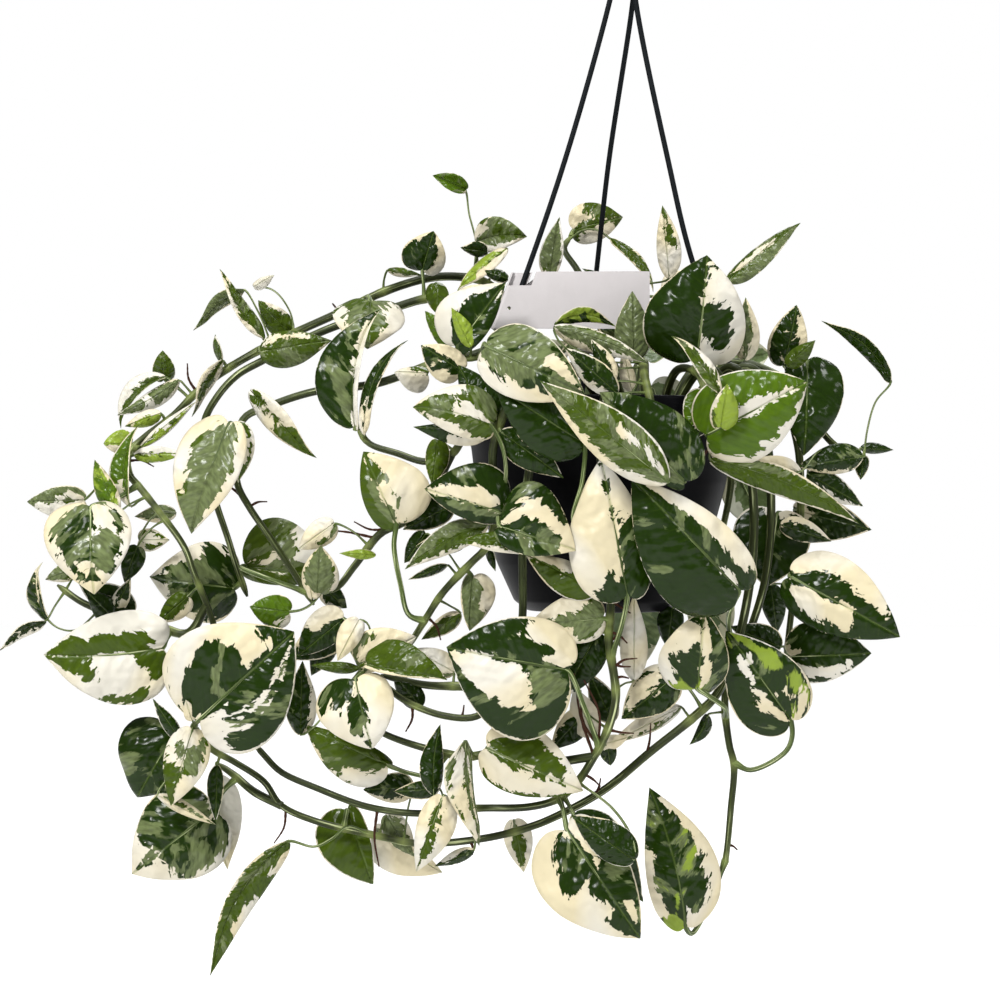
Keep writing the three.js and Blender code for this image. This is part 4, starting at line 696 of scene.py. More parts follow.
class PLANT_PG_hanger(bpy.types.PropertyGroup):
    rod_radius: bpy.props.FloatProperty(
        name="Rod Radius", description="Radius of the hanger's three rods",
        default=0.0016, min=0.0005, max=0.005, **LENGTH)
    wire_radius: bpy.props.FloatProperty(
        name="Hook Wire Radius", description="Radius of the hook's wire",
        default=0.002, min=0.0005, max=0.005, **LENGTH)
    plastic: bpy.props.FloatVectorProperty(
        name="Plastic", description="Colour of the rods and the hook",
        default=(0.0050, 0.0060, 0.0068), **COLOUR)
    label: bpy.props.FloatVectorProperty(
        name="Label", description="Colour of the bare label",
        default=(0.500, 0.470, 0.470), **COLOUR)


class PLANT_PG_stage(bpy.types.PropertyGroup):
    floor_level: bpy.props.FloatProperty(
        name="Floor Level", description="Height of the floor below the hook's bearing point",
        default=-0.74, min=-3, max=0, **LENGTH)
    surround: bpy.props.FloatProperty(
        name="Surround", description="Strength of the soft light from all around",
        default=0.26, min=0, max=5)
    key: bpy.props.FloatProperty(
        name="Key Light", description="Power of the soft light in front", default=30, min=0, max=500)
    top: bpy.props.FloatProperty(
        name="Top Light", description="Strength of the wide light from above",
        default=2.7, min=0, max=20)


def seen(x, z, y):
    """The place in metres of a point given as seen from the front."""
    near = 1 + y / EYE_DISTANCE
    return np.array([EYE_X + (x - EYE_X) * near, y, EYE_Z + (z - EYE_Z) * near]) * MM


def unit(vector):
    return vector / max(np.linalg.norm(vector), 1e-12)


def clamp(value, low, high):
    return min(max(value, low), high)


def hump(away, width):
    """1 at the middle of a swelling, falling to nothing over about twice its width."""
    return np.exp(-(away / width) ** 2)


def reach_along(line):
    """How far along a line of places each of them lies."""
    return np.concatenate([[0], np.cumsum(np.linalg.norm(np.diff(line, axis=0), axis=1))])


def smooth_curve(points, spacing):
    """A centripetal curve through the points, as equally spaced places."""
    p = [np.array(q, float) for q in points]
    p = [2 * p[0] - p[1], *p, 2 * p[-1] - p[-2]]
    fine = [p[1]]
    for i in range(1, len(p) - 2):
        a, b, c, d = p[i - 1:i + 3]
        ab, bc, cd = (max(np.linalg.norm(v) ** 0.5, 1e-5) for v in (b - a, c - b, d - c))
        t1 = ((b - a) / ab - (c - a) / (ab + bc) + (c - b) / bc) * bc
        t2 = ((c - b) / bc - (d - b) / (bc + cd) + (d - c) / cd) * bc
        for k in range(1, 13):
            t = k / 12
            fine.append(b + t * (t1 + t * (3 * (c - b) - 2 * t1 - t2 + t * (2 * (b - c) + t1 + t2))))
    fine = np.array(fine)
    reach = reach_along(fine)
    count = max(2, int(round(reach[-1] / spacing)))
    at = np.linspace(0, reach[-1], count + 1)
    return np.stack([np.interp(at, reach, fine[:, k]) for k in range(3)], axis=1)


def edge_curve(profile, stations):
    """The blade's edge as equally spaced shares of its length and of its half width."""
    fine = smooth_curve([(a, b, 0) for a, b in profile], 0.01)
    reach = reach_along(fine)
    at = np.linspace(0, reach[-1], stations + 1)
    return np.interp(at, reach, fine[:, 0]), np.clip(np.interp(at, reach, fine[:, 1]), 0, None)


def nearest_on(line, place):
    return line[np.argmin(np.linalg.norm(line - place, axis=1))]


# Materials


class Nodes:
    """Adds nodes to a tree and links them: a socket value that is a socket is linked."""

    def __init__(self, tree):
        self.tree = tree

    def put(self, socket, value):
        if isinstance(value, bpy.types.NodeSocket):
            self.tree.links.new(value, socket)
        else:
            socket.default_value = value

    def add(self, kind, inputs=(), **settings):
        node = self.tree.nodes.new(kind)
        for key, value in settings.items():
            setattr(node, key, value)
        for key, value in dict(inputs).items():
            self.put(node.inputs[key], value)
        return node

    def math(self, operation, a, b=0.0, clamp=False):
        node = self.add("ShaderNodeMath", {0: a, 1: b}, operation=operation, use_clamp=clamp)
        return node.outputs[0]

    def mix(self, share, a, b):
        node = self.add("ShaderNodeMix", data_type="RGBA")
        self.put(node.inputs[0], share)
        for socket, value in ((node.inputs[6], a), (node.inputs[7], b)):
            if not isinstance(value, bpy.types.NodeSocket):
                value = (*tuple(value)[:3], 1)
            self.put(socket, value)
        return node.outputs[2]

    def noise(self, vector, scale, detail=2.0, roughness=0.5):
        node = self.add("ShaderNodeTexNoise", {
            "Vector": vector, "Scale": scale, "Detail": detail, "Roughness": roughness})
        return node.outputs["Fac"]

    def scaled(self, vector, size, shift=(0, 0, 0)):
        node = self.add("ShaderNodeMapping", {"Vector": vector, "Scale": size, "Location": shift})
        return node.outputs["Vector"]

    def attribute(self, name):
        return self.add("ShaderNodeAttribute", attribute_name=name)

    def object_place(self):
        return self.add("ShaderNodeTexCoord").outputs["Object"]

    def above(self, value, level, gain):
        """0 up to the level, and from there up to 1 at the rate of the gain."""
        return self.math("MULTIPLY", self.math("SUBTRACT", value, level), gain, clamp=True)

    def fading(self, value, rate):
        """1 where the value is 0, down to 0."""
        return self.math("SUBTRACT", 1.0, self.math("MULTIPLY", value, rate), clamp=True)

    def swing(self, share, reach):
        """A share from 0 to 1 turned into plus or minus half the reach."""
        return self.math("MULTIPLY", self.math("SUBTRACT", share, 0.5), reach)

    def plus(self, value, share, gain):
        return self.math("ADD", value, self.math("MULTIPLY", share, gain))


def new_material(name, colour):
    material = bpy.data.materials.new(name)
    material.use_nodes = True
    material.diffuse_color = (*colour[:3], 1)
    tree = material.node_tree
    shader = tree.nodes["Principled BSDF"]
    shader.inputs["Base Color"].default_value = (*colour[:3], 1)
    return material, Nodes(tree), shader


def tinted(colour, gain):
    return [gain * c for c in colour]


def dress(nodes, shader, colour, normal, roughness, shine=None):
    """Links a finish to the shader; the shine is how strongly it mirrors, if not as usual."""
    nodes.put(shader.inputs["Base Color"], colour)
    nodes.put(shader.inputs["Normal"], normal)
    nodes.put(shader.inputs["Roughness"], roughness)
    if shine is not None:
        shader.inputs["Specular IOR Level"].default_value = shine


def bump(nodes, height, strength, distance, under=None):
    inputs = {"Height": height, "Strength": strength, "Distance": distance}
    if under is not None:
        inputs["Normal"] = under
    return nodes.add("ShaderNodeBump", inputs).outputs["Normal"]


def leaf_material(look):
    """Green, grey-green, yellow-green and cream patches with jagged borders along the side veins."""
    material, nodes, shader = new_material("variegated_leaf", look.middle_green)
    vein = nodes.attribute("vein").outputs["Vector"]
    patch = nodes.add("ShaderNodeSeparateXYZ", {0: nodes.attribute("patch").outputs["Vector"]})
    tone = nodes.attribute("tone")
    own_green, below = tone.outputs["Color"], tone.outputs["Alpha"]
    place = nodes.add("ShaderNodeSeparateXYZ", {0: vein})
    across, along, seed = place.outputs[0], place.outputs[1], place.outputs[2]
    away = nodes.math("ABSOLUTE", across)
    slant = nodes.math("ADD", nodes.math("MULTIPLY", away, 0.012), 0.5)
    run = nodes.math("SUBTRACT", along, nodes.math("MULTIPLY", away, slant))
    flow = nodes.add("ShaderNodeCombineXYZ", {0: across, 1: run, 2: seed}).outputs[0]

    def flowing(size_across, size_along, shift, detail):
        """Noise that runs with the side veins."""
        return nodes.noise(nodes.scaled(flow, (size_across, size_along, 1), shift), 1.0, detail)

    fine = flowing(0.26, 0.42, (3, 9, 5), 1.6)
    speck = flowing(0.6, 0.8, (7, 1, 2), 1.0)
    mottle = flowing(0.16, 0.34, (2, 5, 8), 3.0)
    warp = nodes.swing(fine, 4.0)
    bent = nodes.add("ShaderNodeCombineXYZ", {
        0: nodes.math("ADD", across, warp), 1: nodes.math("SUBTRACT", run, warp), 2: seed}).outputs[0]

    def blocks(size, shift, reach):
        """Areas between side veins, each lifted or lowered as a whole."""
        cells = nodes.add("ShaderNodeTexVoronoi", {
            "Vector": nodes.scaled(bent, size, shift), "Scale": 1.0})
        level = nodes.add("ShaderNodeSeparateColor", {0: cells.outputs["Color"]}).outputs[0]
        return nodes.swing(level, reach)

    def ragged(shift, wander, large, small):
        """What breaks up a border: its wandering, large and small blocks, and a fine grain."""
        edge = nodes.swing(flowing(0.06, 0.08, shift, 2.0), wander)
        edge = nodes.math("ADD", edge, blocks((0.13, 0.17, 1), shift, large))
        edge = nodes.math("ADD", edge, blocks((0.36, 0.44, 1), shift, small))
        return nodes.math("ADD", edge, nodes.swing(speck, 0.9))

    def mask(depth, border, sharpness):
        value = nodes.math("MULTIPLY", nodes.math("ADD", depth, border), sharpness)
        return nodes.math("ADD", value, 0.5, clamp=True)

    jagged = ragged((0, 0, 0), 8.0, 4.0, 2.2)
    drifting = ragged((31, 17, 3), 20.0, 3.0, 1.2)
    cream = mask(patch.outputs[0], jagged, 3.0)
    grey = mask(patch.outputs[1], drifting, 0.9)
    young = mask(patch.outputs[2], drifting, 0.7)

    turn_to_spacing = 2 * math.pi / (look.vein_spacing / MM)
    uneven = nodes.plus(run, flowing(0.03, 0.12, (9, 2, 4), 2.0), 9.0)
    wave = nodes.math("SINE", nodes.math("MULTIPLY", uneven, turn_to_spacing))
    furrow = nodes.math("MULTIPLY", wave, nodes.fading(away, 0.035))
    near_rib = nodes.fading(away, 1.1)
    thread = nodes.above(furrow, 0.72, 2.4)

    shaded = nodes.mix(nodes.math("MULTIPLY", mottle, 0.6), own_green, tinted(look.dark_green, 0.5))
    green = nodes.mix(nodes.math("MULTIPLY", thread, 0.2), shaded, look.middle_green)
    green = nodes.mix(nodes.math("MULTIPLY", near_rib, 0.5), green, look.stalk_green)
    cloudy = nodes.above(fine, 0.36, 3.4)
    greyish = nodes.mix(cloudy, tinted(look.grey_green, 0.6), look.grey_green)
    colour = nodes.mix(grey, green, greyish)
    colour = nodes.mix(young, colour, look.yellow_green)
    whiter = nodes.above(flowing(0.02, 0.02, (5, 5, 9), 1.0), 0.42, 5.0)
    blush = nodes.mix(whiter, look.cream, look.white)
    blush = nodes.mix(nodes.math("MULTIPLY", thread, 0.12), blush, CREAM_VEIN)
    blush = nodes.mix(nodes.math("MULTIPLY", near_rib, 0.35), blush, look.yellow_green)
    colour = nodes.mix(cream, colour, blush)
    colour = nodes.mix(nodes.math("MULTIPLY", below, 0.34), colour, UNDERSIDE)

    depth = nodes.math("SUBTRACT", 0.34, nodes.math("MULTIPLY", cream, 0.2))
    height = nodes.math("MULTIPLY", furrow, depth)
    height = nodes.plus(height, near_rib, -1.4)
    cushions = nodes.noise(nodes.scaled(vein, (0.11, 0.11, 1), (8, 3, 1)), 1.0, 1.0)
    height = nodes.plus(height, cushions, 7.5)
    normal = bump(nodes, height, 0.8, 0.0006)
    normal = bump(nodes, speck, 0.03, 0.0003, normal)
    gloss = nodes.plus(0.13, mottle, 0.2)
    gloss = nodes.plus(gloss, cream, 0.12)
    gloss = nodes.plus(gloss, below, 0.2)
    dress(nodes, shader, colour, normal, gloss, 0.16)
    return material


def stem_material(name, green, pale, knot, streak):
    """Lengthwise streaks of green and cream, with paler rings at the nodes."""
    material, nodes, shader = new_material(name, green)
    turn = nodes.math("MULTIPLY", nodes.attribute("around").outputs["Fac"], 2 * math.pi)
    run = nodes.attribute("run").outputs["Fac"]
    swell = nodes.attribute("swell").outputs["Fac"]
    around = nodes.add("ShaderNodeCombineXYZ", {
        0: nodes.math("COSINE", turn), 1: nodes.math("SINE", turn),
        2: nodes.math("MULTIPLY", run, 14.0)})
    lines = nodes.noise(around.outputs[0], 1.9, 3.0, 0.55)
    dots = nodes.noise(nodes.scaled(around.outputs[0], (1, 1, 9), (4, 2, 1)), 4.0, 2.0)
    colour = nodes.mix(nodes.above(lines, 0.42, 5.0), tinted(green, 0.35), green)
    colour = nodes.mix(nodes.above(lines, streak, 9.0), colour, pale)
    colour = nodes.mix(nodes.math("MULTIPLY", swell, 0.35, clamp=True), colour, knot)
    normal = bump(nodes, nodes.math("ADD", lines, dots), 0.5, 0.0004)
    dress(nodes, shader, colour, normal, nodes.plus(0.32, dots, 0.25), 0.2)
    return material


def root_material(look):
    """Dark brown bark with a coarse grain."""
    material, nodes, shader = new_material("aerial_root", look.root_brown)
    grain = nodes.noise(nodes.object_place(), 700.0, 3.0, 0.6)
    colour = nodes.mix(grain, tinted(look.root_brown, 0.3), tinted(look.root_brown, 1.7))
    dress(nodes, shader, colour, bump(nodes, grain, 0.7, 0.0004), 0.8, 0.1)
    return material


def plastic_material(name, colour, roughness):
    """Moulded black plastic: a faint grain, a soft mottled gloss and fine scuffs."""
    material, nodes, shader = new_material(name, colour)
    where = nodes.object_place()
    grain = nodes.noise(where, 1500.0, 2.0)
    cloud = nodes.noise(where, 45.0, 3.0)
    scuff = nodes.noise(nodes.scaled(where, (60, 60, 900)), 1.0, 2.0)
    shade = nodes.mix(cloud, colour, tinted(colour, 1.9))
    scuffed = nodes.math("MULTIPLY", nodes.above(scuff, 0.62, 3.0), 0.3)
    dusty = nodes.mix(scuffed, shade, SCUFFED_PLASTIC)
    dress(nodes, shader, dusty, bump(nodes, grain, 0.25, 0.0002),
          nodes.plus(roughness, cloud, 0.2), 0.03)
    return material


def soil_material(name, colour):
    """Dark crumbly soil with a few pale flecks."""
    material, nodes, shader = new_material(name, colour)
    where = nodes.object_place()
    clods = nodes.noise(where, 260.0, 4.0, 0.65)
    fleck = nodes.noise(where, 900.0, 2.0)
    shade = nodes.mix(clods, tinted(colour, 0.35), tinted(colour, 2.0))
    flecked = nodes.mix(nodes.above(fleck, 0.64, 8.0), shade, SOIL_FLECK)
    dress(nodes, shader, flecked, bump(nodes, clods, 1.0, 0.002), 0.95)
    return material


def label_material(colour):
    """Thin matt plastic paper with a faint cloudiness and a soft crinkle."""
    material, nodes, shader = new_material("bare_label", colour)
    where = nodes.object_place()
    cloud = nodes.noise(where, 90.0, 3.0)
    fibre = nodes.noise(nodes.scaled(where, (1, 1, 2)), 1400.0, 2.0)
    crinkle = nodes.noise(nodes.scaled(where, (1, 1, 0.25)), 160.0, 2.0)
    shade = nodes.mix(cloud, colour, tinted(colour, 0.88))
    normal = bump(nodes, fibre, 0.15, 0.0001, bump(nodes, crinkle, 0.35, 0.0008))
    dress(nodes, shader, shade, normal, nodes.plus(0.5, cloud, 0.2))
    return material


# Meshes


def object_of(name, mesh):
    piece = bpy.data.objects.new(name, mesh)
    bpy.context.scene.collection.objects.link(piece)
    return piece


def mesh_of(name, places, faces):
    mesh = bpy.data.meshes.new(name)
    mesh.from_pydata([tuple(p) for p in places], [], faces)
    return mesh


def part_turn(k, count):
    return 2 * math.pi * k / count


def ring_faces(rings, sides, first=0):
    """The faces between rings of places that stand one above the other."""
    faces = []
    for i in range(rings - 1):
        low, high = first + i * sides, first + (i + 1) * sides
        for k in range(sides):
            n = (k + 1) % sides
            faces.append((low + k, low + n, high + n, high + k))
    return faces


def store(mesh, name, kind, values):
    attribute = mesh.attributes.new(name, kind, "POINT")
    field = "value" if kind == "FLOAT" else "color" if kind == "FLOAT_COLOR" else "vector"
    attribute.data.foreach_set(field, np.asarray(values, np.float32).ravel())


def new_tree(name, inputs):
    tree = bpy.data.node_groups.new(name, "GeometryNodeTree")
    tree.interface.new_socket("Geometry", in_out="INPUT", socket_type="NodeSocketGeometry")
    for key, kind, value in inputs:
        socket = tree.interface.new_socket(key, in_out="INPUT", socket_type=kind)
        if value is not None:
            socket.default_value = value
    tree.interface.new_socket("Geometry", in_out="OUTPUT", socket_type="NodeSocketGeometry")
    nodes = Nodes(tree)
    return tree, nodes, nodes.add("NodeGroupInput"), nodes.add("NodeGroupOutput")


def finish_tree(nodes, geometry, material, smooth, sink):
    shaded = nodes.add("GeometryNodeSetShadeSmooth", {"Geometry": geometry, "Shade Smooth": smooth})
    real = nodes.add("GeometryNodeRealizeInstances", {"Geometry": shaded.outputs[0]})
    done = nodes.add("GeometryNodeSetMaterial", {"Geometry": real.outputs[0], "Material": material})
    nodes.put(sink.inputs[0], done.outputs[0])


def tube_tree():
    """Round tubes along the edges of a mesh whose points hold a radius."""
    name = "Tubes Along Paths"
    if name in bpy.data.node_groups:
        return bpy.data.node_groups[name]
    tree, nodes, source, sink = new_tree(name, (
        ("Sides", "NodeSocketInt", 10), ("Thickness", "NodeSocketFloat", 1.0),
        ("Material", "NodeSocketMaterial", None)))
    paths = nodes.add("GeometryNodeMeshToCurve", {"Mesh": source.outputs[0]})
    radius = nodes.add("GeometryNodeInputNamedAttribute", {"Name": "radius"}, data_type="FLOAT")
    length = nodes.add("GeometryNodeSplineParameter")
    marked = nodes.add("GeometryNodeStoreNamedAttribute", {
        "Geometry": paths.outputs[0], "Name": "run", "Value": length.outputs["Length"]},
        data_type="FLOAT", domain="POINT")
    ring = nodes.add("GeometryNodeCurvePrimitiveCircle", {
        "Resolution": source.outputs["Sides"], "Radius": 1.0})
    share = nodes.add("GeometryNodeSplineParameter")
    marked_ring = nodes.add("GeometryNodeStoreNamedAttribute", {
        "Geometry": ring.outputs[0], "Name": "around", "Value": share.outputs["Factor"]},
        data_type="FLOAT", domain="POINT")
    size = nodes.math("MULTIPLY", radius.outputs[0], source.outputs["Thickness"])
    tubes = nodes.add("GeometryNodeCurveToMesh", {
        "Curve": marked.outputs[0], "Profile Curve": marked_ring.outputs[0],
        "Scale": size, "Fill Caps": True})
    finish_tree(nodes, tubes.outputs[0], source.outputs["Material"], True, sink)
    return tree


def crumb_tree():
    """Irregular crumbs scattered over the faces of a mesh."""
    name = "Crumbs On Soil"
    if name in bpy.data.node_groups:
        return bpy.data.node_groups[name]
    tree, nodes, source, sink = new_tree(name, (
        ("Density", "NodeSocketFloat", 90000.0), ("Smallest", "NodeSocketFloat", 0.0005),
        ("Largest", "NodeSocketFloat", 0.0017), ("Seed", "NodeSocketInt", 5),
        ("Material", "NodeSocketMaterial", None)))
    spread = nodes.add("GeometryNodeDistributePointsOnFaces", {
        "Mesh": source.outputs[0], "Density": source.outputs["Density"],
        "Seed": source.outputs["Seed"]})
    crumb = nodes.add("GeometryNodeMeshIcoSphere", {"Radius": 1.0, "Subdivisions": 1})
    turn = nodes.add("FunctionNodeRandomValue", {
        "Min": (0, 0, 0), "Max": (6.28, 6.28, 6.28), "Seed": 11}, data_type="FLOAT_VECTOR")
    stretch = nodes.add("FunctionNodeRandomValue", {
        "Min": (0.6, 0.4, 0.35), "Max": (1.6, 1.0, 0.7), "Seed": 23}, data_type="FLOAT_VECTOR")
    size = nodes.add("FunctionNodeRandomValue", data_type="FLOAT")
    nodes.put(size.inputs[2], source.outputs["Smallest"])
    nodes.put(size.inputs[3], source.outputs["Largest"])
    scale = nodes.add("ShaderNodeVectorMath", {0: stretch.outputs[0]}, operation="SCALE")
    nodes.put(scale.inputs["Scale"], size.outputs[1])
    placed = nodes.add("GeometryNodeInstanceOnPoints", {
        "Points": spread.outputs[0], "Instance": crumb.outputs[0], "Rotation": turn.outputs[0],
        "Scale": scale.outputs[0]})
    finish_tree(nodes, placed.outputs[0], source.outputs["Material"], False, sink)
    return tree


def shaped_mesh(piece, all_layers):
    """A plain mesh of what the piece's modifiers make of it."""
    bpy.context.view_layer.update()
    seen_by = bpy.context.evaluated_depsgraph_get()
    return bpy.data.meshes.new_from_object(
        piece.evaluated_get(seen_by), preserve_all_data_layers=all_layers, depsgraph=seen_by)


def run_tree(piece, tree, values):
    """Turns what the tree makes of the piece's mesh into the piece's own plain mesh."""
    old = piece.data
    modifier = piece.modifiers.new("shape", "NODES")
    modifier.node_group = tree
    names = {item.name: item.identifier for item in tree.interface.items_tree
             if item.in_out == "INPUT"}
    for key, value in values.items():
        modifier[names[key]] = value
    mesh = shaped_mesh(piece, True)
    piece.modifiers.remove(modifier)
    piece.data = mesh
    bpy.data.meshes.remove(old)
    return piece


def tubes(name, paths, sides, material):
    """One mesh of round tubes; a path is its places, its radii and how far it swells at each."""
    places, edges, radii, swells = [], [], [], []
    for line, radius, swell in paths:
        first = len(places)
        places.extend(line)
        radii.extend(radius)
        swells.extend(swell)
        edges.extend((first + i, first + i + 1) for i in range(len(line) - 1))
    mesh = bpy.data.meshes.new(name)
    mesh.from_pydata([tuple(p) for p in places], edges, [])
    store(mesh, "radius", "FLOAT", radii)
    store(mesh, "swell", "FLOAT", swells)
    piece = object_of(name, mesh)
    return run_tree(piece, tube_tree(), {"Sides": sides, "Material": material})


def join(name, parts):
    with bpy.context.temp_override(
            active_object=parts[0], object=parts[0], selected_objects=parts,
            selected_editable_objects=parts):
        bpy.ops.object.join()
    parts[0].name = name
    parts[0].data.name = name
    return parts[0]


def settle(piece, slot, *nodes):
    """Hangs a finished piece on the body and hides the parts of model.glb that it takes the place of.
    """
    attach(piece, "root")
    if nodes:
        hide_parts(*nodes)
    return piece


# Leaves


class Blade:
    """A leaf's midrib and edges, and the fine mesh between them."""

    # What differs from leaf to leaf: the least of each and how much more it may be
    WAVES = (1.3, 1.5)
    RIPPLE = (0.035, 0.075)
    FOLD = (-0.02, 0.14)
    CURL = (-0.03, 0.17)
    DROOP = (0.02, 0.07)
    PALE_MARGIN = (-0.3, 1.1)

    def __init__(self, leaf, number, look):
        x0, z0, y0, x1, z1, y1, left, right, left_depth, right_depth, bend, arch = leaf[:12]
        self.text = leaf[12]
        self.route = leaf[13] if len(leaf) > 13 else ()
        self.number = number
        self.look = look
        self.base = seen(x0, z0, y0)
        self.axis = seen(x1, z1, y1) - self.base
        self.length = np.linalg.norm(self.axis)
        flat = math.hypot(x1 - x0, z1 - z0)
        across = np.array([-(z1 - z0) / flat, 0, (x1 - x0) / flat])
        back = np.array([0.0, 1.0, 0.0])
        self.bow = (across * bend - back * arch) * MM
        self.sides = ((across * left + back * left_depth) * MM,
                      (-across * right + back * right_depth) * MM)
        self.half = max(np.linalg.norm(s) for s in self.sides)
        self.front = np.array([0, -1.0 if arch >= 0 else 1.0, 0.35])
        self.scale = clamp(self.half / FULL_HALF_WIDTH, 0.75, 1.15)
        broadness = 2 * self.half / self.length
        heart = clamp((broadness - 0.45) / 0.35, 0, 1)
        self.profile = [(h * heart + o * (1 - heart), a * heart + b * (1 - heart))
                        for (h, a), (o, b) in zip(HEART, OVAL)]

    def chance(self, draw):
        """A fixed share from 0 to 1 for each leaf and draw."""
        return math.sin(self.number * 12.9898 + draw * 78.233 + 1) * 43758.5453 % 1

    def vary(self, draw, least, more):
        return least + more * self.chance(draw)

    def rib(self, t):
        """Places on the midrib, which bows between base 0 and tip 1."""
        t = np.asarray(t, float)[..., None]
        return self.base + self.axis * t + self.bow * 4 * t * (1 - t)

    def along(self, t):
        """The direction of the midrib."""
        t = np.asarray(t, float)[..., None]
        way = self.axis + self.bow * 4 * (1 - 2 * t)
        return way / np.linalg.norm(way, axis=-1, keepdims=True)

    def facing(self, t):
        """The normal of the upper face at the midrib."""
        middle = unit(self.sides[0]) - unit(self.sides[1])
        normal = np.cross(self.along(t), middle)
        normal /= np.linalg.norm(normal, axis=-1, keepdims=True)
        sign = 1 if np.dot(np.cross(unit(self.axis), middle), self.front) > 0 else -1
        return normal * sign

    def patches(self, row, out, across):
        """How deep each place lies inside the cream, grey and young patches, in scaled millimetres."""
        own, *words = self.text.split()
        level = np.zeros(row.shape)
        depth = {key: level - FAR for key in "cgy"}
        if own[0] in "CGY":
            depth[own[0].lower()] = level + FAR
        if own[1] != "0":
            depth["g"] = np.maximum(depth["g"], UNMOTTLED + int(own[1]))
        half, length = self.half / MM / self.scale, self.length / MM / self.scale
        for word in words:
            found = PATCH.fullmatch(word)
            if not found:
                kind, share = word.split("~")
                depth[kind] = np.maximum(depth[kind], level + UNMOTTLED + int(share))
                continue
            kind, where, *spans = found.groups(default="10")
            start, end, inner, outer = (int(span) / 10 for span in spans)
            deep = level + FAR
            if where != "A":
                deep = np.minimum(deep, across if where == "L" else -across)
            if start > 0:
                deep = np.minimum(deep, (row - start) * length)
            if end < 1:
                deep = np.minimum(deep, (end - row) * length)
            if inner > 0:
                deep = np.minimum(deep, (out - inner) * half)
            if outer < 1:
                deep = np.minimum(deep, (outer - out) * half)
            for key in depth:
                if key == kind:
                    depth[key] = np.maximum(depth[key], deep)
                else:
                    depth[key] = np.minimum(depth[key], -deep)
        return np.stack([depth["c"], depth["g"], depth["y"]], axis=-1)

    def sheet(self, rows, steps):
        """Rows of places from left edge to right, each with its vein and patch, and a normal a row."""
        t_edge, w_edge = edge_curve(self.profile, rows)
        share = np.linspace(0, 1, rows + 1)
        t_rib = share ** 1.15
        r = np.linspace(0, 1, steps + 1)
        phase = 2 * math.pi * self.chance(0)
        waves = self.vary(1, *self.WAVES)
        ripple = self.vary(2, *self.RIPPLE)
        fold = self.vary(3, *self.FOLD)
        curl = self.vary(4, *self.CURL)
        droop = self.vary(5, *self.DROOP)
        margin = self.vary(6, *self.PALE_MARGIN)

        rib, normal = self.rib(t_rib), self.facing(t_rib)
        bend = 0.24 * r * (1 - r) - 0.03 * hump(r, 0.12) + fold * r - curl * r ** 3
        drop = -droop * self.length * np.clip((share - 0.75) / 0.25, 0, 1) ** 2
        ends = 40 * np.clip(0.08 - share, 0, 1), 40 * np.clip(share - 0.94, 0, 1)
        halves = []
        for index, side in enumerate(self.sides):
            span = self.rib(t_edge) + side * w_edge[:, None] - rib
            width = np.linalg.norm(span, axis=1)[:, None]
            wave = np.sin(2 * math.pi * waves * share + phase + index * 2.1)[:, None] * r ** 2.2
            lift = width * (bend + ripple * wave)
            grid = rib[:, None] + span[:, None] * r[None, :, None]
            grid += normal[:, None] * (lift + drop[:, None])[..., None]

            across = (1 - 2 * index) * width * r[None] / MM / self.scale
            run = (t_rib[:, None] + (t_edge - t_rib)[:, None] * r) * (self.length / MM) / self.scale
            vein = np.stack([across, run, np.full_like(across, self.number * 7.31)], axis=-1)
            row = np.broadcast_to(share[:, None], across.shape)
            out = np.broadcast_to(r[None], across.shape)
            patch = self.patches(row, out, across)
            inward = width / MM * (1 - r) + ends[0][:, None] + ends[1][:, None]
            patch[..., 0] = np.maximum(patch[..., 0], (margin - inward) * 8)
            halves.append((grid, vein, patch))
        whole = (np.concatenate([left[:, ::-1], right[:, 1:]], axis=1) for left, right in zip(*halves))
        return (*whole, normal)

    def build(self, thickness):
        """Places, faces and the attributes vein, patch and tone of a closed thin blade."""
        rows = int(clamp(self.length / MM * 0.75, 12, 52))
        steps = int(clamp(self.half / MM * 0.55, 4, 13))
        grid, vein, patch, normal = self.sheet(rows, steps)
        columns = grid.shape[1]
        rim = np.abs(np.linspace(-1, 1, columns))
        half = thickness / 2 * (1 - 0.6 * rim ** 6)
        inner = slice(1, rows)
        offset = normal[inner, None] * half[None, :, None]
        base, tip = grid[0, steps], grid[rows, steps]
        count = (rows - 1) * columns
        faces = []
        for face in (0, 1):
            start = face * (count + 2)
            first, last = start + count, start + count + 1

            def at(i, j, start=start):
                return start + i * columns + j

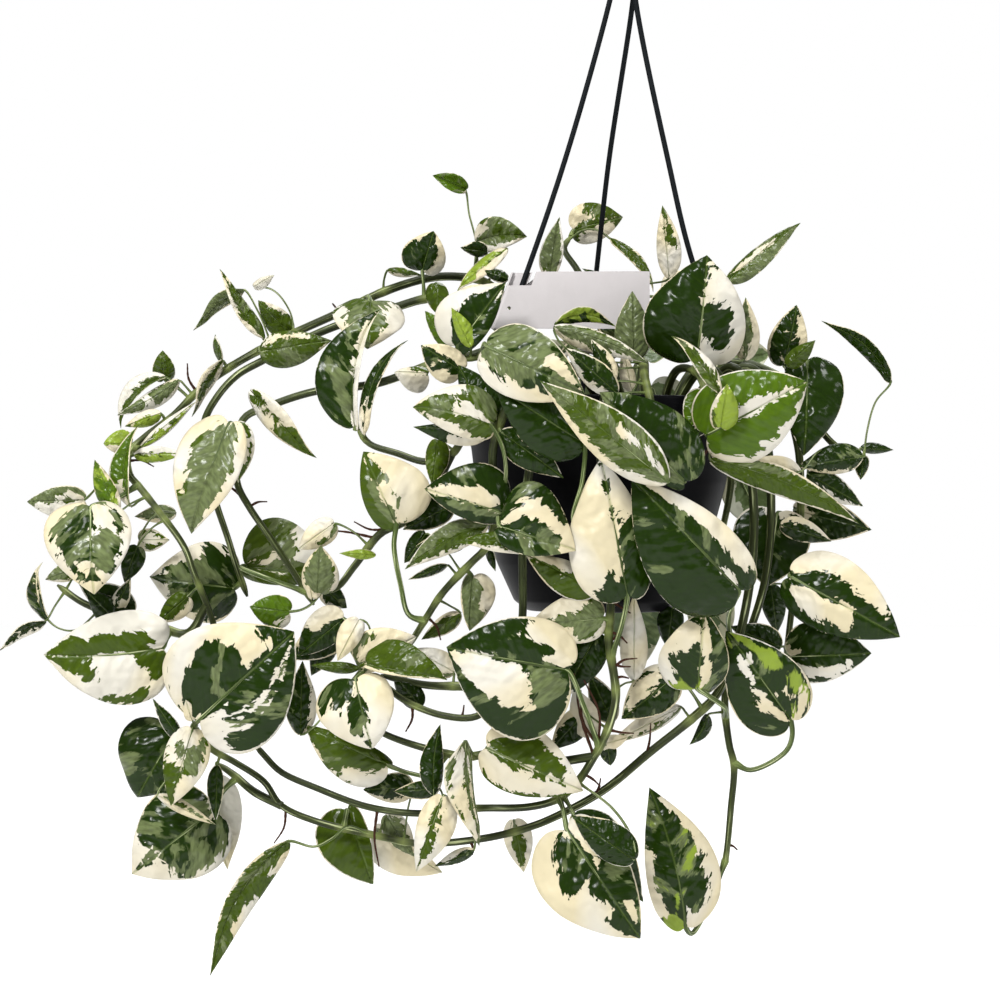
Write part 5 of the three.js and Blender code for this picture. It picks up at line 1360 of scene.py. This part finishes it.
            for i in range(rows - 2):
                for j in range(columns - 1):
                    quad = (at(i, j), at(i, j + 1), at(i + 1, j + 1), at(i + 1, j))
                    faces.append(quad if face == 0 else quad[::-1])
            for j in range(columns - 1):
                low = (first, at(0, j + 1), at(0, j))
                high = (last, at(rows - 2, j), at(rows - 2, j + 1))
                faces.append(low if face == 0 else low[::-1])
                faces.append(high if face == 0 else high[::-1])
        loop = ([count] + [i * columns for i in range(rows - 1)] + [count + 1]
                + [i * columns + columns - 1 for i in range(rows - 2, -1, -1)])
        under = count + 2
        for a, b in zip(loop, loop[1:] + loop[:1]):
            faces.append((a, b, b + under, a + under))
        places = []
        for sign in (1, -1):
            places.append((grid[inner] + sign * offset).reshape(-1, 3))
            places.append(base + sign * normal[0] * thickness * 0.3)
            places.append(tip + sign * normal[rows] * thickness * 0.2)
        places = np.concatenate([p.reshape(-1, 3) for p in places])
        i = rows // 2
        p, q, s = places[at(i, steps, 0)], places[at(i, steps + 1, 0)], places[at(i + 1, steps, 0)]
        if np.dot(np.cross(q - p, s - p), normal[i]) < 0:
            faces = [f[::-1] for f in faces]
        ends = [0, rows]
        vein = np.concatenate([vein[inner].reshape(-1, 3), vein[ends, steps]])
        patch = np.concatenate([patch[inner].reshape(-1, 3), patch[ends, steps]])
        greens = {"D": self.look.dark_green, "B": self.look.bright_green}
        green = greens.get(self.text[0], self.look.middle_green)
        above = np.tile([*green, 0.0], (len(vein), 1))
        below = np.tile([*green, 1.0], (len(vein), 1))
        return (places, faces, np.concatenate([vein, vein]), np.concatenate([patch, patch]),
                np.concatenate([above, below]))

    def stalk(self, line, radius):
        """The stalk's path from the stem to the blade and on along the rib's underside."""
        listed = [seen(*p) for p in self.route]
        start = nearest_on(line, listed[0] if listed else self.base)
        points = [start, *listed[1:]]
        reach = np.linalg.norm(start - self.base)
        if not listed and reach > SHORT_STALK:
            rise = 0.1 if reach > LONG_STALK else 0.03
            points.append((start + self.base) / 2 + np.array([0, 0, rise * reach]))
        stations = np.array([0.0, 0.12, 0.3, 0.5, 0.7, 0.86])
        below = self.rib(stations) - self.facing(stations) * radius * 0.75
        fine = smooth_curve([*points, *below], STALK_STEP)
        joint = int(np.argmin(np.linalg.norm(fine - self.base, axis=1)))
        radii = np.full(len(fine), radius)
        swell = np.zeros(len(fine))
        for i in range(len(fine)):
            if i <= joint:
                from_stem, from_blade = i * STALK_STEP, (joint - i) * STALK_STEP
                radii[i] *= 1 + 0.6 * hump(from_stem, 0.005)
                radii[i] *= 1 + 0.25 * hump(from_blade, 0.004)
                swell[i] = hump(from_stem, 0.004)
            else:
                radii[i] *= 1 - 0.85 * (i - joint) / max(len(fine) - 1 - joint, 1)
        return fine, radii, swell


def stem_line(stem):
    """The stem's route from its foot in the hole, which it leaves upright."""
    hole_x, hole_y = stem["hole"]
    heights = (SOIL_TOP - HOLE_DEPTH + CLEARANCE, SOIL_TOP - 8, SOIL_TOP + 6)
    foot = [np.array((hole_x, hole_y, z)) * MM for z in heights]
    return [*foot, *(seen(*p) for p in stem["route"])]


def blades_mesh(name, blades, thickness, material):
    """All the blades of a stem as one mesh."""
    built = [blade.build(thickness) for blade in blades]
    faces, shift = [], 0
    for places, own_faces, *_ in built:
        faces.extend(tuple(k + shift for k in face) for face in own_faces)
        shift += len(places)
    places, vein, patch, tone = (np.concatenate([data[k] for data in built]) for k in (0, 2, 3, 4))
    mesh = mesh_of(name, places, faces)
    store(mesh, "vein", "FLOAT_VECTOR", vein)
    store(mesh, "patch", "FLOAT_VECTOR", patch)
    store(mesh, "tone", "FLOAT_COLOR", tone)
    mesh.materials.append(material)
    mesh.polygons.foreach_set("use_smooth", [True] * len(mesh.polygons))
    return mesh


def stem_paths(lines, joints, radius):
    """Stems that taper to the tip and swell where a stalk leaves them."""
    paths = []
    for line in lines:
        share = np.linspace(0, 1, len(line))
        radii = radius * (1 - 0.3 * np.clip((share - 0.35) / 0.65, 0, 1))
        swell = np.zeros(len(line))
        for joint in joints:
            away = np.linalg.norm(line - joint, axis=1)
            if np.min(away) < JOINT_REACH:
                swell = np.maximum(swell, hump(away, 0.0035))
        radii = radii * (1 + 0.1 * swell)
        radii[-1] *= 0.35
        radii[-2] *= 0.8
        paths.append((line, radii, swell))
    return paths


def root_paths(roots, stems, radius):
    """Short curved roots, slightly ringed and thinner towards the tip."""
    paths = []
    for number, (start, end) in enumerate(roots):
        begin, finish = nearest_on(stems, seen(*start)), seen(*end)
        middle = (begin + finish) / 2
        middle[1] -= 0.0005
        way = np.cross(finish - begin, (0, 1, 0))
        middle = middle + 0.14 * math.sin(2.4 * number + 1) * way
        line = smooth_curve([begin, middle, finish], ROOT_STEP)
        share = np.linspace(0, 1, len(line))
        radii = radius * (1.15 - 0.7 * share) * (1 + 0.12 * np.sin(share * 40))
        paths.append((line, radii, np.zeros(len(line))))
    return paths


def foliage(name, stem, first, look, materials):
    """One stem with its shoots, stalks, blades and aerial roots as one mesh."""
    leaf, wood, stalk, brown = materials
    main = smooth_curve(stem_line(stem), STEM_STEP)
    lines = [main]
    for shoot in stem.get("shoots", ()):
        points = [seen(*p) for p in shoot]
        points[0] = nearest_on(main, points[0])
        lines.append(smooth_curve(points, STEM_STEP))
    every = np.concatenate(lines)[BURIED_STEPS:]

    blades = [Blade(row, first + i, look) for i, row in enumerate(stem["leaves"])]
    parts = [object_of(name, blades_mesh(name, blades, look.blade_thickness, leaf))]
    stalks = []
    for blade in blades:
        size = clamp(blade.half / FULL_HALF_WIDTH, 0.45, 1.15)
        stalks.append(blade.stalk(every, look.stalk_radius * size))
    joints = [path[0][0] for path in stalks]
    parts.append(tubes(name + "_stem", stem_paths(lines, joints, look.stem_radius), 12, wood))
    parts.append(tubes(name + "_stalks", stalks, 8, stalk))
    if "roots" in stem:
        roots = root_paths(stem["roots"], every, look.root_radius)
        parts.append(tubes(name + "_roots", roots, 6, brown))
    piece = join(name, parts)
    return settle(piece, "leaf", "stem_" + name.removeprefix("foliage_"))


# Pot, soil, hanger and label


def lathe(name, profile, centre, sides):
    """A closed body turned about an upright axis; the profile starts and ends on the axis."""
    places = []
    inner = profile[1:-1]
    for radius, z in inner:
        for turn in (part_turn(k, sides) for k in range(sides)):
            places.append((centre[0] + radius * math.cos(turn), centre[1] + radius * math.sin(turn), z))
    low, high = len(places), len(places) + 1
    places.append((*centre, profile[0][1]))
    places.append((*centre, profile[-1][1]))
    faces = ring_faces(len(inner), sides)
    last = (len(inner) - 1) * sides
    for k in range(sides):
        n = (k + 1) % sides
        faces.append((low, n, k))
        faces.append((high, last + k, last + n))
    mesh = mesh_of(name, places, faces)
    piece = object_of(name, mesh)
    outward(piece)
    return piece


def outward(piece):
    """Turns every face of a closed piece to the outside."""
    shape = bmesh.new()
    shape.from_mesh(piece.data)
    bmesh.ops.recalc_face_normals(shape, faces=shape.faces)
    shape.to_mesh(piece.data)
    shape.free()


def cut(piece, cutters):
    """Takes the cutters out of the piece, one after the other."""
    for cutter in cutters:
        modifier = piece.modifiers.new("cut", "BOOLEAN")
        modifier.operation = "DIFFERENCE"
        modifier.solver = "EXACT"
        modifier.object = cutter
        mesh = shaped_mesh(piece, False)
        piece.modifiers.clear()
        piece.data = mesh
        bpy.data.objects.remove(cutter)


def rounded(profile, radius):
    """The profile with each inner corner replaced by a short arc."""
    out = [np.array(profile[0], float)]
    for a, b, c in zip(profile, profile[1:], profile[2:]):
        a, b, c = (np.array(p, float) for p in (a, b, c))
        back, ahead = np.linalg.norm(a - b), np.linalg.norm(c - b)
        cut_off = min(radius, 0.45 * back, 0.45 * ahead)
        p, q = b + unit(a - b) * cut_off, b + unit(c - b) * cut_off
        for t in (0, 1 / 3, 2 / 3, 1):
            out.append((1 - t) ** 2 * p + 2 * t * (1 - t) * b + t * t * q)
    out.append(np.array(profile[-1], float))
    return [tuple(p) for p in out]


def rod_route(angle, bends):
    """Through the middle of the ear's hole and down to the knob below the ear."""
    points = [seen(*p) for p in bends]
    points[0][2] = ROD_TOP * MM
    turn = math.radians(angle)
    hole = np.array([POT_X + EAR_RING * math.cos(turn), EAR_RING * math.sin(turn),
                     RIM_Z - 1 - EAR_THICKNESS / 2]) * MM
    way = hole - points[-1]
    way /= -way[2]
    drop = (EAR_THICKNESS / 2 + CLEARANCE + KNOB_RADIUS) * MM
    return [*points, hole, hole + way * drop]


def shade_by_angle(piece, degrees):
    """Smooth faces, but sharp edges where they meet at more than the angle."""
    mesh = piece.data
    mesh.polygons.foreach_set("use_smooth", [True] * len(mesh.polygons))
    shape = bmesh.new()
    shape.from_mesh(mesh)
    for edge in shape.edges:
        sharp = len(edge.link_faces) != 2 or edge.calc_face_angle(0) > math.radians(degrees)
        edge.smooth = not sharp
    shape.to_mesh(mesh)
    shape.free()


class PLANT_OT_foliage(bpy.types.Operator):
    """Make every stem with its stalks, leaves and aerial roots"""

    bl_idname = "plant.foliage"
    bl_label = "Leafy Stems"

    def execute(self, context):
        look = context.scene.plant_foliage
        materials = (
            leaf_material(look),
            stem_material("green_stem", tuple(look.stem_green), STEM_STREAK, STEM_KNOT, 0.60),
            stem_material("leaf_stalk", tuple(look.stalk_green), STALK_STREAK, STALK_KNOT, 0.56),
            root_material(look),
        )
        first = 0
        for name, stem in STEMS.items():
            foliage("foliage_" + name.removeprefix("stem_"), stem, first, look, materials)
            first += len(stem["leaves"])
        return {"FINISHED"}


class PLANT_OT_pot(bpy.types.Operator):
    """Make the black pot with its three ears"""

    bl_idname = "plant.pot"
    bl_label = "Pot"

    def execute(self, context):
        look = context.scene.plant_pot
        top = RIM_Z * MM
        pot = lathe("pot_body", self.profile(look, top), (POT_X * MM, 0), 96)
        ears = [self.ear(angle, top) for _, angle, _ in RODS]
        bottom = top - look.height
        above = bottom + look.wall + 0.001
        drains = []
        for turn in (part_turn(k, DRAINS) for k in range(DRAINS)):
            place = (POT_X * MM + DRAIN_RING * math.cos(turn), DRAIN_RING * math.sin(turn))
            profile = [(0, bottom - 0.001), (DRAIN_RADIUS, bottom - 0.001), (DRAIN_RADIUS, above),
                       (0, above)]
            drains.append(lathe("drain", profile, place, 24))
        cut(pot, drains)
        piece = join("pot_shell", [pot, *ears])
        piece.data.materials.clear()
        piece.data.materials.append(plastic_material("black_pot", tuple(look.plastic), 0.3))
        shade_by_angle(piece, 35)
        settle(piece, "pot_plastic", "pot")
        return {"FINISHED"}

    @staticmethod
    def profile(look, top):
        """From the middle of the bottom up the outside, over the rim and down the inside."""
        rim, base, wall = look.rim_radius, look.base_radius, look.wall
        bottom = top - look.height
        outside = [(0, bottom + 0.0012), (base - 0.006, bottom + 0.0012), (base - 0.004, bottom),
                   (base, bottom), *((base + out, bottom + up) for out, up in POT_BENDS),
                   (rim - 0.006, top - 0.010), (rim, top - 0.010)]
        lip = [(rim, top - 0.001), (rim - 0.001, top), (rim - 0.005, top)]
        inside = [(rim - 0.006 - wall, top - 0.010),
                  *((base + out - wall, bottom + up) for out, up in POT_BENDS[::-1]),
                  (base - 0.001, bottom + wall), (0, bottom + wall)]
        return rounded([*outside, *lip, *inside], 0.0012)

    @staticmethod
    def ear(angle, top):
        """A flat tab with a round end and a hole, standing out from the rim."""
        turn = math.radians(angle)
        out = Vector((math.cos(turn), math.sin(turn), 0))
        side = Vector((-out.y, out.x, 0))
        centre = Vector((POT_X * MM, 0, 0))
        outline = [(0.0815, -EAR_HALF_WIDTH)]
        for k in range(13):
            around = math.radians(-90 + 15 * k)
            outline.append((0.0905 + EAR_HALF_WIDTH * math.cos(around),
                            EAR_HALF_WIDTH * math.sin(around)))
        outline.append((0.0815, EAR_HALF_WIDTH))
        places = []
        for z in (top - 0.001 - EAR_THICKNESS * MM, top - 0.001):
            places.extend(centre + out * a + side * b + Vector((0, 0, z)) for a, b in outline)
        n = len(outline)
        faces = [tuple(range(n)), tuple(range(2 * n - 1, n - 1, -1)), *ring_faces(2, n)]
        ear = object_of("ear", mesh_of("ear", places, faces))
        outward(ear)
        where = centre + out * (EAR_RING * MM)
        low, high = top - 0.009, top + 0.005
        hole = lathe("hole", [(0, low), (EAR_HOLE, low), (EAR_HOLE, high), (0, high)],
                     (where.x, where.y), 24)
        cut(ear, [hole])
        return ear


class PLANT_OT_soil(bpy.types.Operator):
    """Finish the potting soil and scatter its crumbs"""

    bl_idname = "plant.soil"
    bl_label = "Soil"

    def execute(self, context):
        look = context.scene.plant_pot
        material = soil_material("potting_soil", tuple(look.soil))
        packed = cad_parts["soil"]
        packed.data.materials.clear()
        packed.data.materials.append(material)
        centre = Vector((POT_X * MM, 0, 0))
        rings, sides = (0.004, 0.02, 0.036, 0.052, 0.064, SOIL_RADIUS), 48
        places = []
        for radius in rings:
            z = (SOIL_TOP + 0.6) * MM - 0.0006 * radius / SOIL_RADIUS
            for turn in (part_turn(k, sides) for k in range(sides)):
                places.append(centre + Vector((radius * math.cos(turn), radius * math.sin(turn), z)))
        faces = ring_faces(len(rings), sides)
        crumbs = object_of("soil_crumbs", mesh_of("soil_crumbs", places, faces))
        run_tree(crumbs, crumb_tree(), {"Density": look.crumb_density, "Material": material})
        settle(crumbs, "soil")
        return {"FINISHED"}


class PLANT_OT_hanger(bpy.types.Operator):
    """Make the hook, its boss and the three rods with their knobs"""

    bl_idname = "plant.hanger"
    bl_label = "Hanger"

    def execute(self, context):
        look = context.scene.plant_hanger
        material = plastic_material("black_rod", tuple(look.plastic), 0.35)
        for name, angle, bends in RODS:
            route = rod_route(angle, bends)
            line = smooth_curve(route, 0.006)
            even = [look.rod_radius] * len(line)
            tube = tubes(name + "_tube", [(line, even, [0] * len(line))], 16, material)
            end = route[-1]
            radius = KNOB_RADIUS * MM
            turns = [math.pi * k / 16 for k in range(17)]
            profile = [(radius * math.sin(t), end[2] - radius * math.cos(t)) for t in turns]
            knob = lathe(name + "_knob", profile, (end[0], end[1]), 24)
            knob.data.materials.append(material)
            piece = join(name + "_fine", [tube, knob])
            shade_by_angle(piece, 40)
            settle(piece, "rod_plastic", name)
        ring = HOOK_RADIUS + look.wire_radius / MM
        route = [(-2, -47), (-2, -38), (0, -32), (8, -24), (ring - 1, -16), (ring, -HOOK_RADIUS)]
        for degrees in range(30, 211, 30):
            turn = math.radians(degrees)
            route.append((ring * math.cos(turn), ring * math.sin(turn) - HOOK_RADIUS))
        line = smooth_curve([np.array([x, 0, z]) * MM for x, z in route], 0.002)
        radii = np.full(len(line), look.wire_radius)
        radii[-1] *= 0.6
        hook = tubes("hook_wire", [(line, radii, np.zeros(len(line)))], 16, material)
        profile = rounded([(0, -0.057), (0.009, -0.057), (0.009, -0.049), (0.004, -0.043),
                           (0, -0.043)], 0.0008)
        boss = lathe("hook_boss", profile, (-0.002, 0), 48)
        boss.data.materials.append(material)
        piece = join("hook_fine", [hook, boss])
        shade_by_angle(piece, 40)
        settle(piece, "rod_plastic", "hook")
        return {"FINISHED"}


class PLANT_OT_label(bpy.types.Operator):
    """Make the bare label with its loop round the left rod"""

    bl_idname = "plant.label"
    bl_label = "Label"

    def execute(self, context):
        look = context.scene.plant_hanger
        _, angle, bends = RODS[0]
        line = smooth_curve(rod_route(angle, bends), 0.0005) / MM
        middle = LABEL_TOP - LABEL_HEIGHT / 2
        place = line[np.argmin(abs(line[:, 2] - middle))]
        above = line[np.argmin(abs(line[:, 2] - LABEL_TOP))]
        slant = (above - place) / (above[2] - place[2])
        loops = self.outline(LABEL_RIGHT - place[0], look.rod_radius / MM + LABEL_PLAY)
        levels = 9
        places, faces, starts = [], [], []
        for loop in loops:
            starts.append(len(places))
            for k in range(levels):
                height = LABEL_HEIGHT * (k / (levels - 1) - 0.5)
                for x, y in loop:
                    follow = clamp(1 - (x - 12) / 20, 0, 1)
                    ripple = 0.25 * math.sin(x / 13 + height / 9) * (1 - follow)
                    places.append(Vector((
                        x + place[0] + slant[0] * height * follow,
                        y + place[1] + slant[1] * height * follow + ripple, height + middle)) * MM)
            faces += ring_faces(levels, len(loop), starts[-1])
        flat = [[Vector((x, y, 0)) for x, y in loop] for loop in loops]
        spots = [(which, i) for which, loop in enumerate(loops) for i in range(len(loop))]
        for corners_of in tessellate_polygon(flat):
            for level in (0, levels - 1):
                faces.append(tuple(starts[spots[c][0]] + level * len(loops[spots[c][0]])
                                   + spots[c][1] for c in corners_of))
        label = object_of("label_fine", mesh_of("label_fine", places, faces))
        outward(label)
        cut(label, [self.punch(place), self.notch(place, slant, middle)])
        label.data.materials.clear()
        label.data.materials.append(label_material(tuple(look.label)))
        shade_by_angle(label, 32)
        settle(label, "label", "label")
        return {"FINISHED"}

    def outline(self, far, inner):
        """The sheet folded round the rod and the opening in the fold, seen from above the rod."""
        outer = inner + LABEL_THICKNESS
        front = -outer - 1
        back = front + LABEL_THICKNESS
        outside = [(far, front), (far, back), (far * 0.75, back + 0.35), (30, -inner),
                   (inner + 3, -inner), *self.arc(outer, -60, 90), (-7, outer), (-8.6, outer * 0.6),
                   (-9, 0), (-8.6, -outer * 0.6), (-7, -outer), (30, -outer),
                   (far * 0.75, front + 0.35)]
        opening = [(-6.6, -inner), (-7.8, -inner * 0.6), (-8.1, 0), (-7.8, inner * 0.6),
                   (-6.6, inner), *self.arc(inner, 90, -90)]
        return outside, opening

    @staticmethod
    def punch(place):
        """A short bar that makes the small round hole."""
        ring = []
        for y in (-12, 12):
            for turn in (part_turn(k, 16) for k in range(16)):
                ring.append(Vector((place[0] - 4.4 + 1.1 * math.cos(turn), place[1] + y,
                                    -272 + 1.1 * math.sin(turn))) * MM)
        punch = object_of("punch", mesh_of("punch", ring, [
            *ring_faces(2, 16), tuple(range(15, -1, -1)), tuple(range(16, 32))]))
        outward(punch)
        return punch

    @staticmethod
    def notch(place, slant, middle):
        """A block that opens the top of the fold in front of the rod."""
        places = []
        for z in (LABEL_TOP - 8, LABEL_TOP + 3):
            shift = slant * (z - middle)
            for x, y in ((-12, -12), (5.5, -12), (5.5, -0.6), (-12, -0.6)):
                places.append(Vector((place[0] + x + shift[0], place[1] + y + shift[1], z)) * MM)
        notch = object_of("notch", mesh_of("notch", places, [
            (3, 2, 1, 0), (4, 5, 6, 7), *ring_faces(2, 4)]))
        outward(notch)
        return notch

    @staticmethod
    def arc(radius, start, end):
        turns = (math.radians(start + (end - start) * k / 10) for k in range(11))
        return [(radius * math.cos(t), radius * math.sin(t)) for t in turns]


class PLANT_OT_stage(bpy.types.Operator):
    """Make the pale floor, the soft lights and the camera"""

    bl_idname = "plant.stage"
    bl_label = "Stage"

    def execute(self, context):
        look = context.scene.plant_stage
        scene = context.scene
        level, reach = look.floor_level, FLOOR_REACH
        floor = object_of("stage_floor", mesh_of("stage_floor", [
            (-reach, -reach, level), (reach, -reach, level), (reach, reach, level),
            (-reach, reach, level)], [(0, 1, 2, 3)]))
        material, nodes, shader = new_material("pale_floor", (0.9, 0.9, 0.9))
        cloud = nodes.noise(nodes.object_place(), 3.0, 2.0)
        nodes.put(shader.inputs["Base Color"], nodes.mix(cloud, (0.95, 0.95, 0.95), (0.93, 0.93, 0.93)))
        shader.inputs["Roughness"].default_value = 0.9
        floor.data.materials.append(material)

        world = bpy.data.worlds.new("pale_surround")
        world.use_nodes = True
        around = Nodes(world.node_tree)
        background = world.node_tree.nodes["Background"]
        background.inputs["Color"].default_value = (1, 1, 1, 1)
        plain_view = around.add("ShaderNodeLightPath").outputs["Is Camera Ray"]
        extra = around.math("MULTIPLY", plain_view, 1.0 - look.surround)
        around.put(background.inputs["Strength"], around.math("ADD", extra, look.surround))
        scene.world = world
        lamps = (
            ("key", (-0.8, -1.3, 0.7), 0.4, look.key),
            ("side", (1.5, -0.9, 0.5), 0.6, look.key * 0.3),
            ("back", (0.4, 1.6, 0.9), 1.0, look.key * 0.4),
        )
        aim = Vector((-0.08, 0, -0.38))
        for name, place, size, power in lamps:
            data = bpy.data.lights.new(name, "AREA")
            data.shape = "DISK"
            data.size = size
            data.energy = power
            lamp = bpy.data.objects.new(name, data)
            lamp.location = place
            lamp.rotation_euler = (aim - Vector(place)).to_track_quat("-Z", "Y").to_euler()
            scene.collection.objects.link(lamp)

        data = bpy.data.lights.new("top", "SUN")
        data.energy = look.top
        data.angle = math.radians(24)
        lamp = bpy.data.objects.new("top", data)
        lamp.rotation_euler = (math.radians(12), 0, 0)
        scene.collection.objects.link(lamp)

        data = bpy.data.cameras.new("camera")
        data.sensor_width = 36
        data.lens = 36 * EYE_DISTANCE / VIEW_WIDTH
        data.clip_end = 50
        camera = bpy.data.objects.new("camera", data)
        camera.location = (EYE_X * MM, -EYE_DISTANCE * MM, EYE_Z * MM)
        camera.rotation_euler = (math.pi / 2, 0, 0)
        scene.collection.objects.link(camera)
        scene.camera = camera
        scene.view_settings.view_transform = "Standard"
        return {"FINISHED"}


class PLANT_PT_panel(bpy.types.Panel):
    """The plant's sizes, colours and pieces"""

    bl_label = "Hanging Plant"
    bl_idname = "PLANT_PT_panel"
    bl_space_type = "VIEW_3D"
    bl_region_type = "UI"
    bl_category = "Plant"

    def draw(self, context):
        scene = context.scene
        groups = (
            (scene.plant_foliage, (PLANT_OT_foliage,)),
            (scene.plant_pot, (PLANT_OT_pot, PLANT_OT_soil)),
            (scene.plant_hanger, (PLANT_OT_hanger, PLANT_OT_label)),
            (scene.plant_stage, (PLANT_OT_stage,)),
        )
        for group, operators in groups:
            box = self.layout.box()
            for key in group.bl_rna.properties.keys():
                if key not in {"rna_type", "name"}:
                    box.prop(group, key)
            for operator in operators:
                box.operator(operator.bl_idname)


CLASSES = (
    PLANT_PG_foliage, PLANT_PG_pot, PLANT_PG_hanger, PLANT_PG_stage,
    PLANT_OT_stage, PLANT_OT_foliage, PLANT_OT_pot, PLANT_OT_soil, PLANT_OT_hanger,
    PLANT_OT_label, PLANT_PT_panel,
)


def register():
    for each in CLASSES:
        bpy.utils.register_class(each)
    bpy.types.Scene.plant_foliage = bpy.props.PointerProperty(type=PLANT_PG_foliage)
    bpy.types.Scene.plant_pot = bpy.props.PointerProperty(type=PLANT_PG_pot)
    bpy.types.Scene.plant_hanger = bpy.props.PointerProperty(type=PLANT_PG_hanger)
    bpy.types.Scene.plant_stage = bpy.props.PointerProperty(type=PLANT_PG_stage)


def unregister():
    del bpy.types.Scene.plant_stage
    del bpy.types.Scene.plant_hanger
    del bpy.types.Scene.plant_pot
    del bpy.types.Scene.plant_foliage
    for each in reversed(CLASSES):
        bpy.utils.unregister_class(each)


def main():
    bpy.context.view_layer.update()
    register()
    bpy.ops.plant.stage()
    bpy.ops.plant.pot()
    bpy.ops.plant.soil()
    bpy.ops.plant.hanger()
    bpy.ops.plant.label()
    bpy.ops.plant.foliage()
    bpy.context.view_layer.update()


if __name__ == "__main__":
    main()
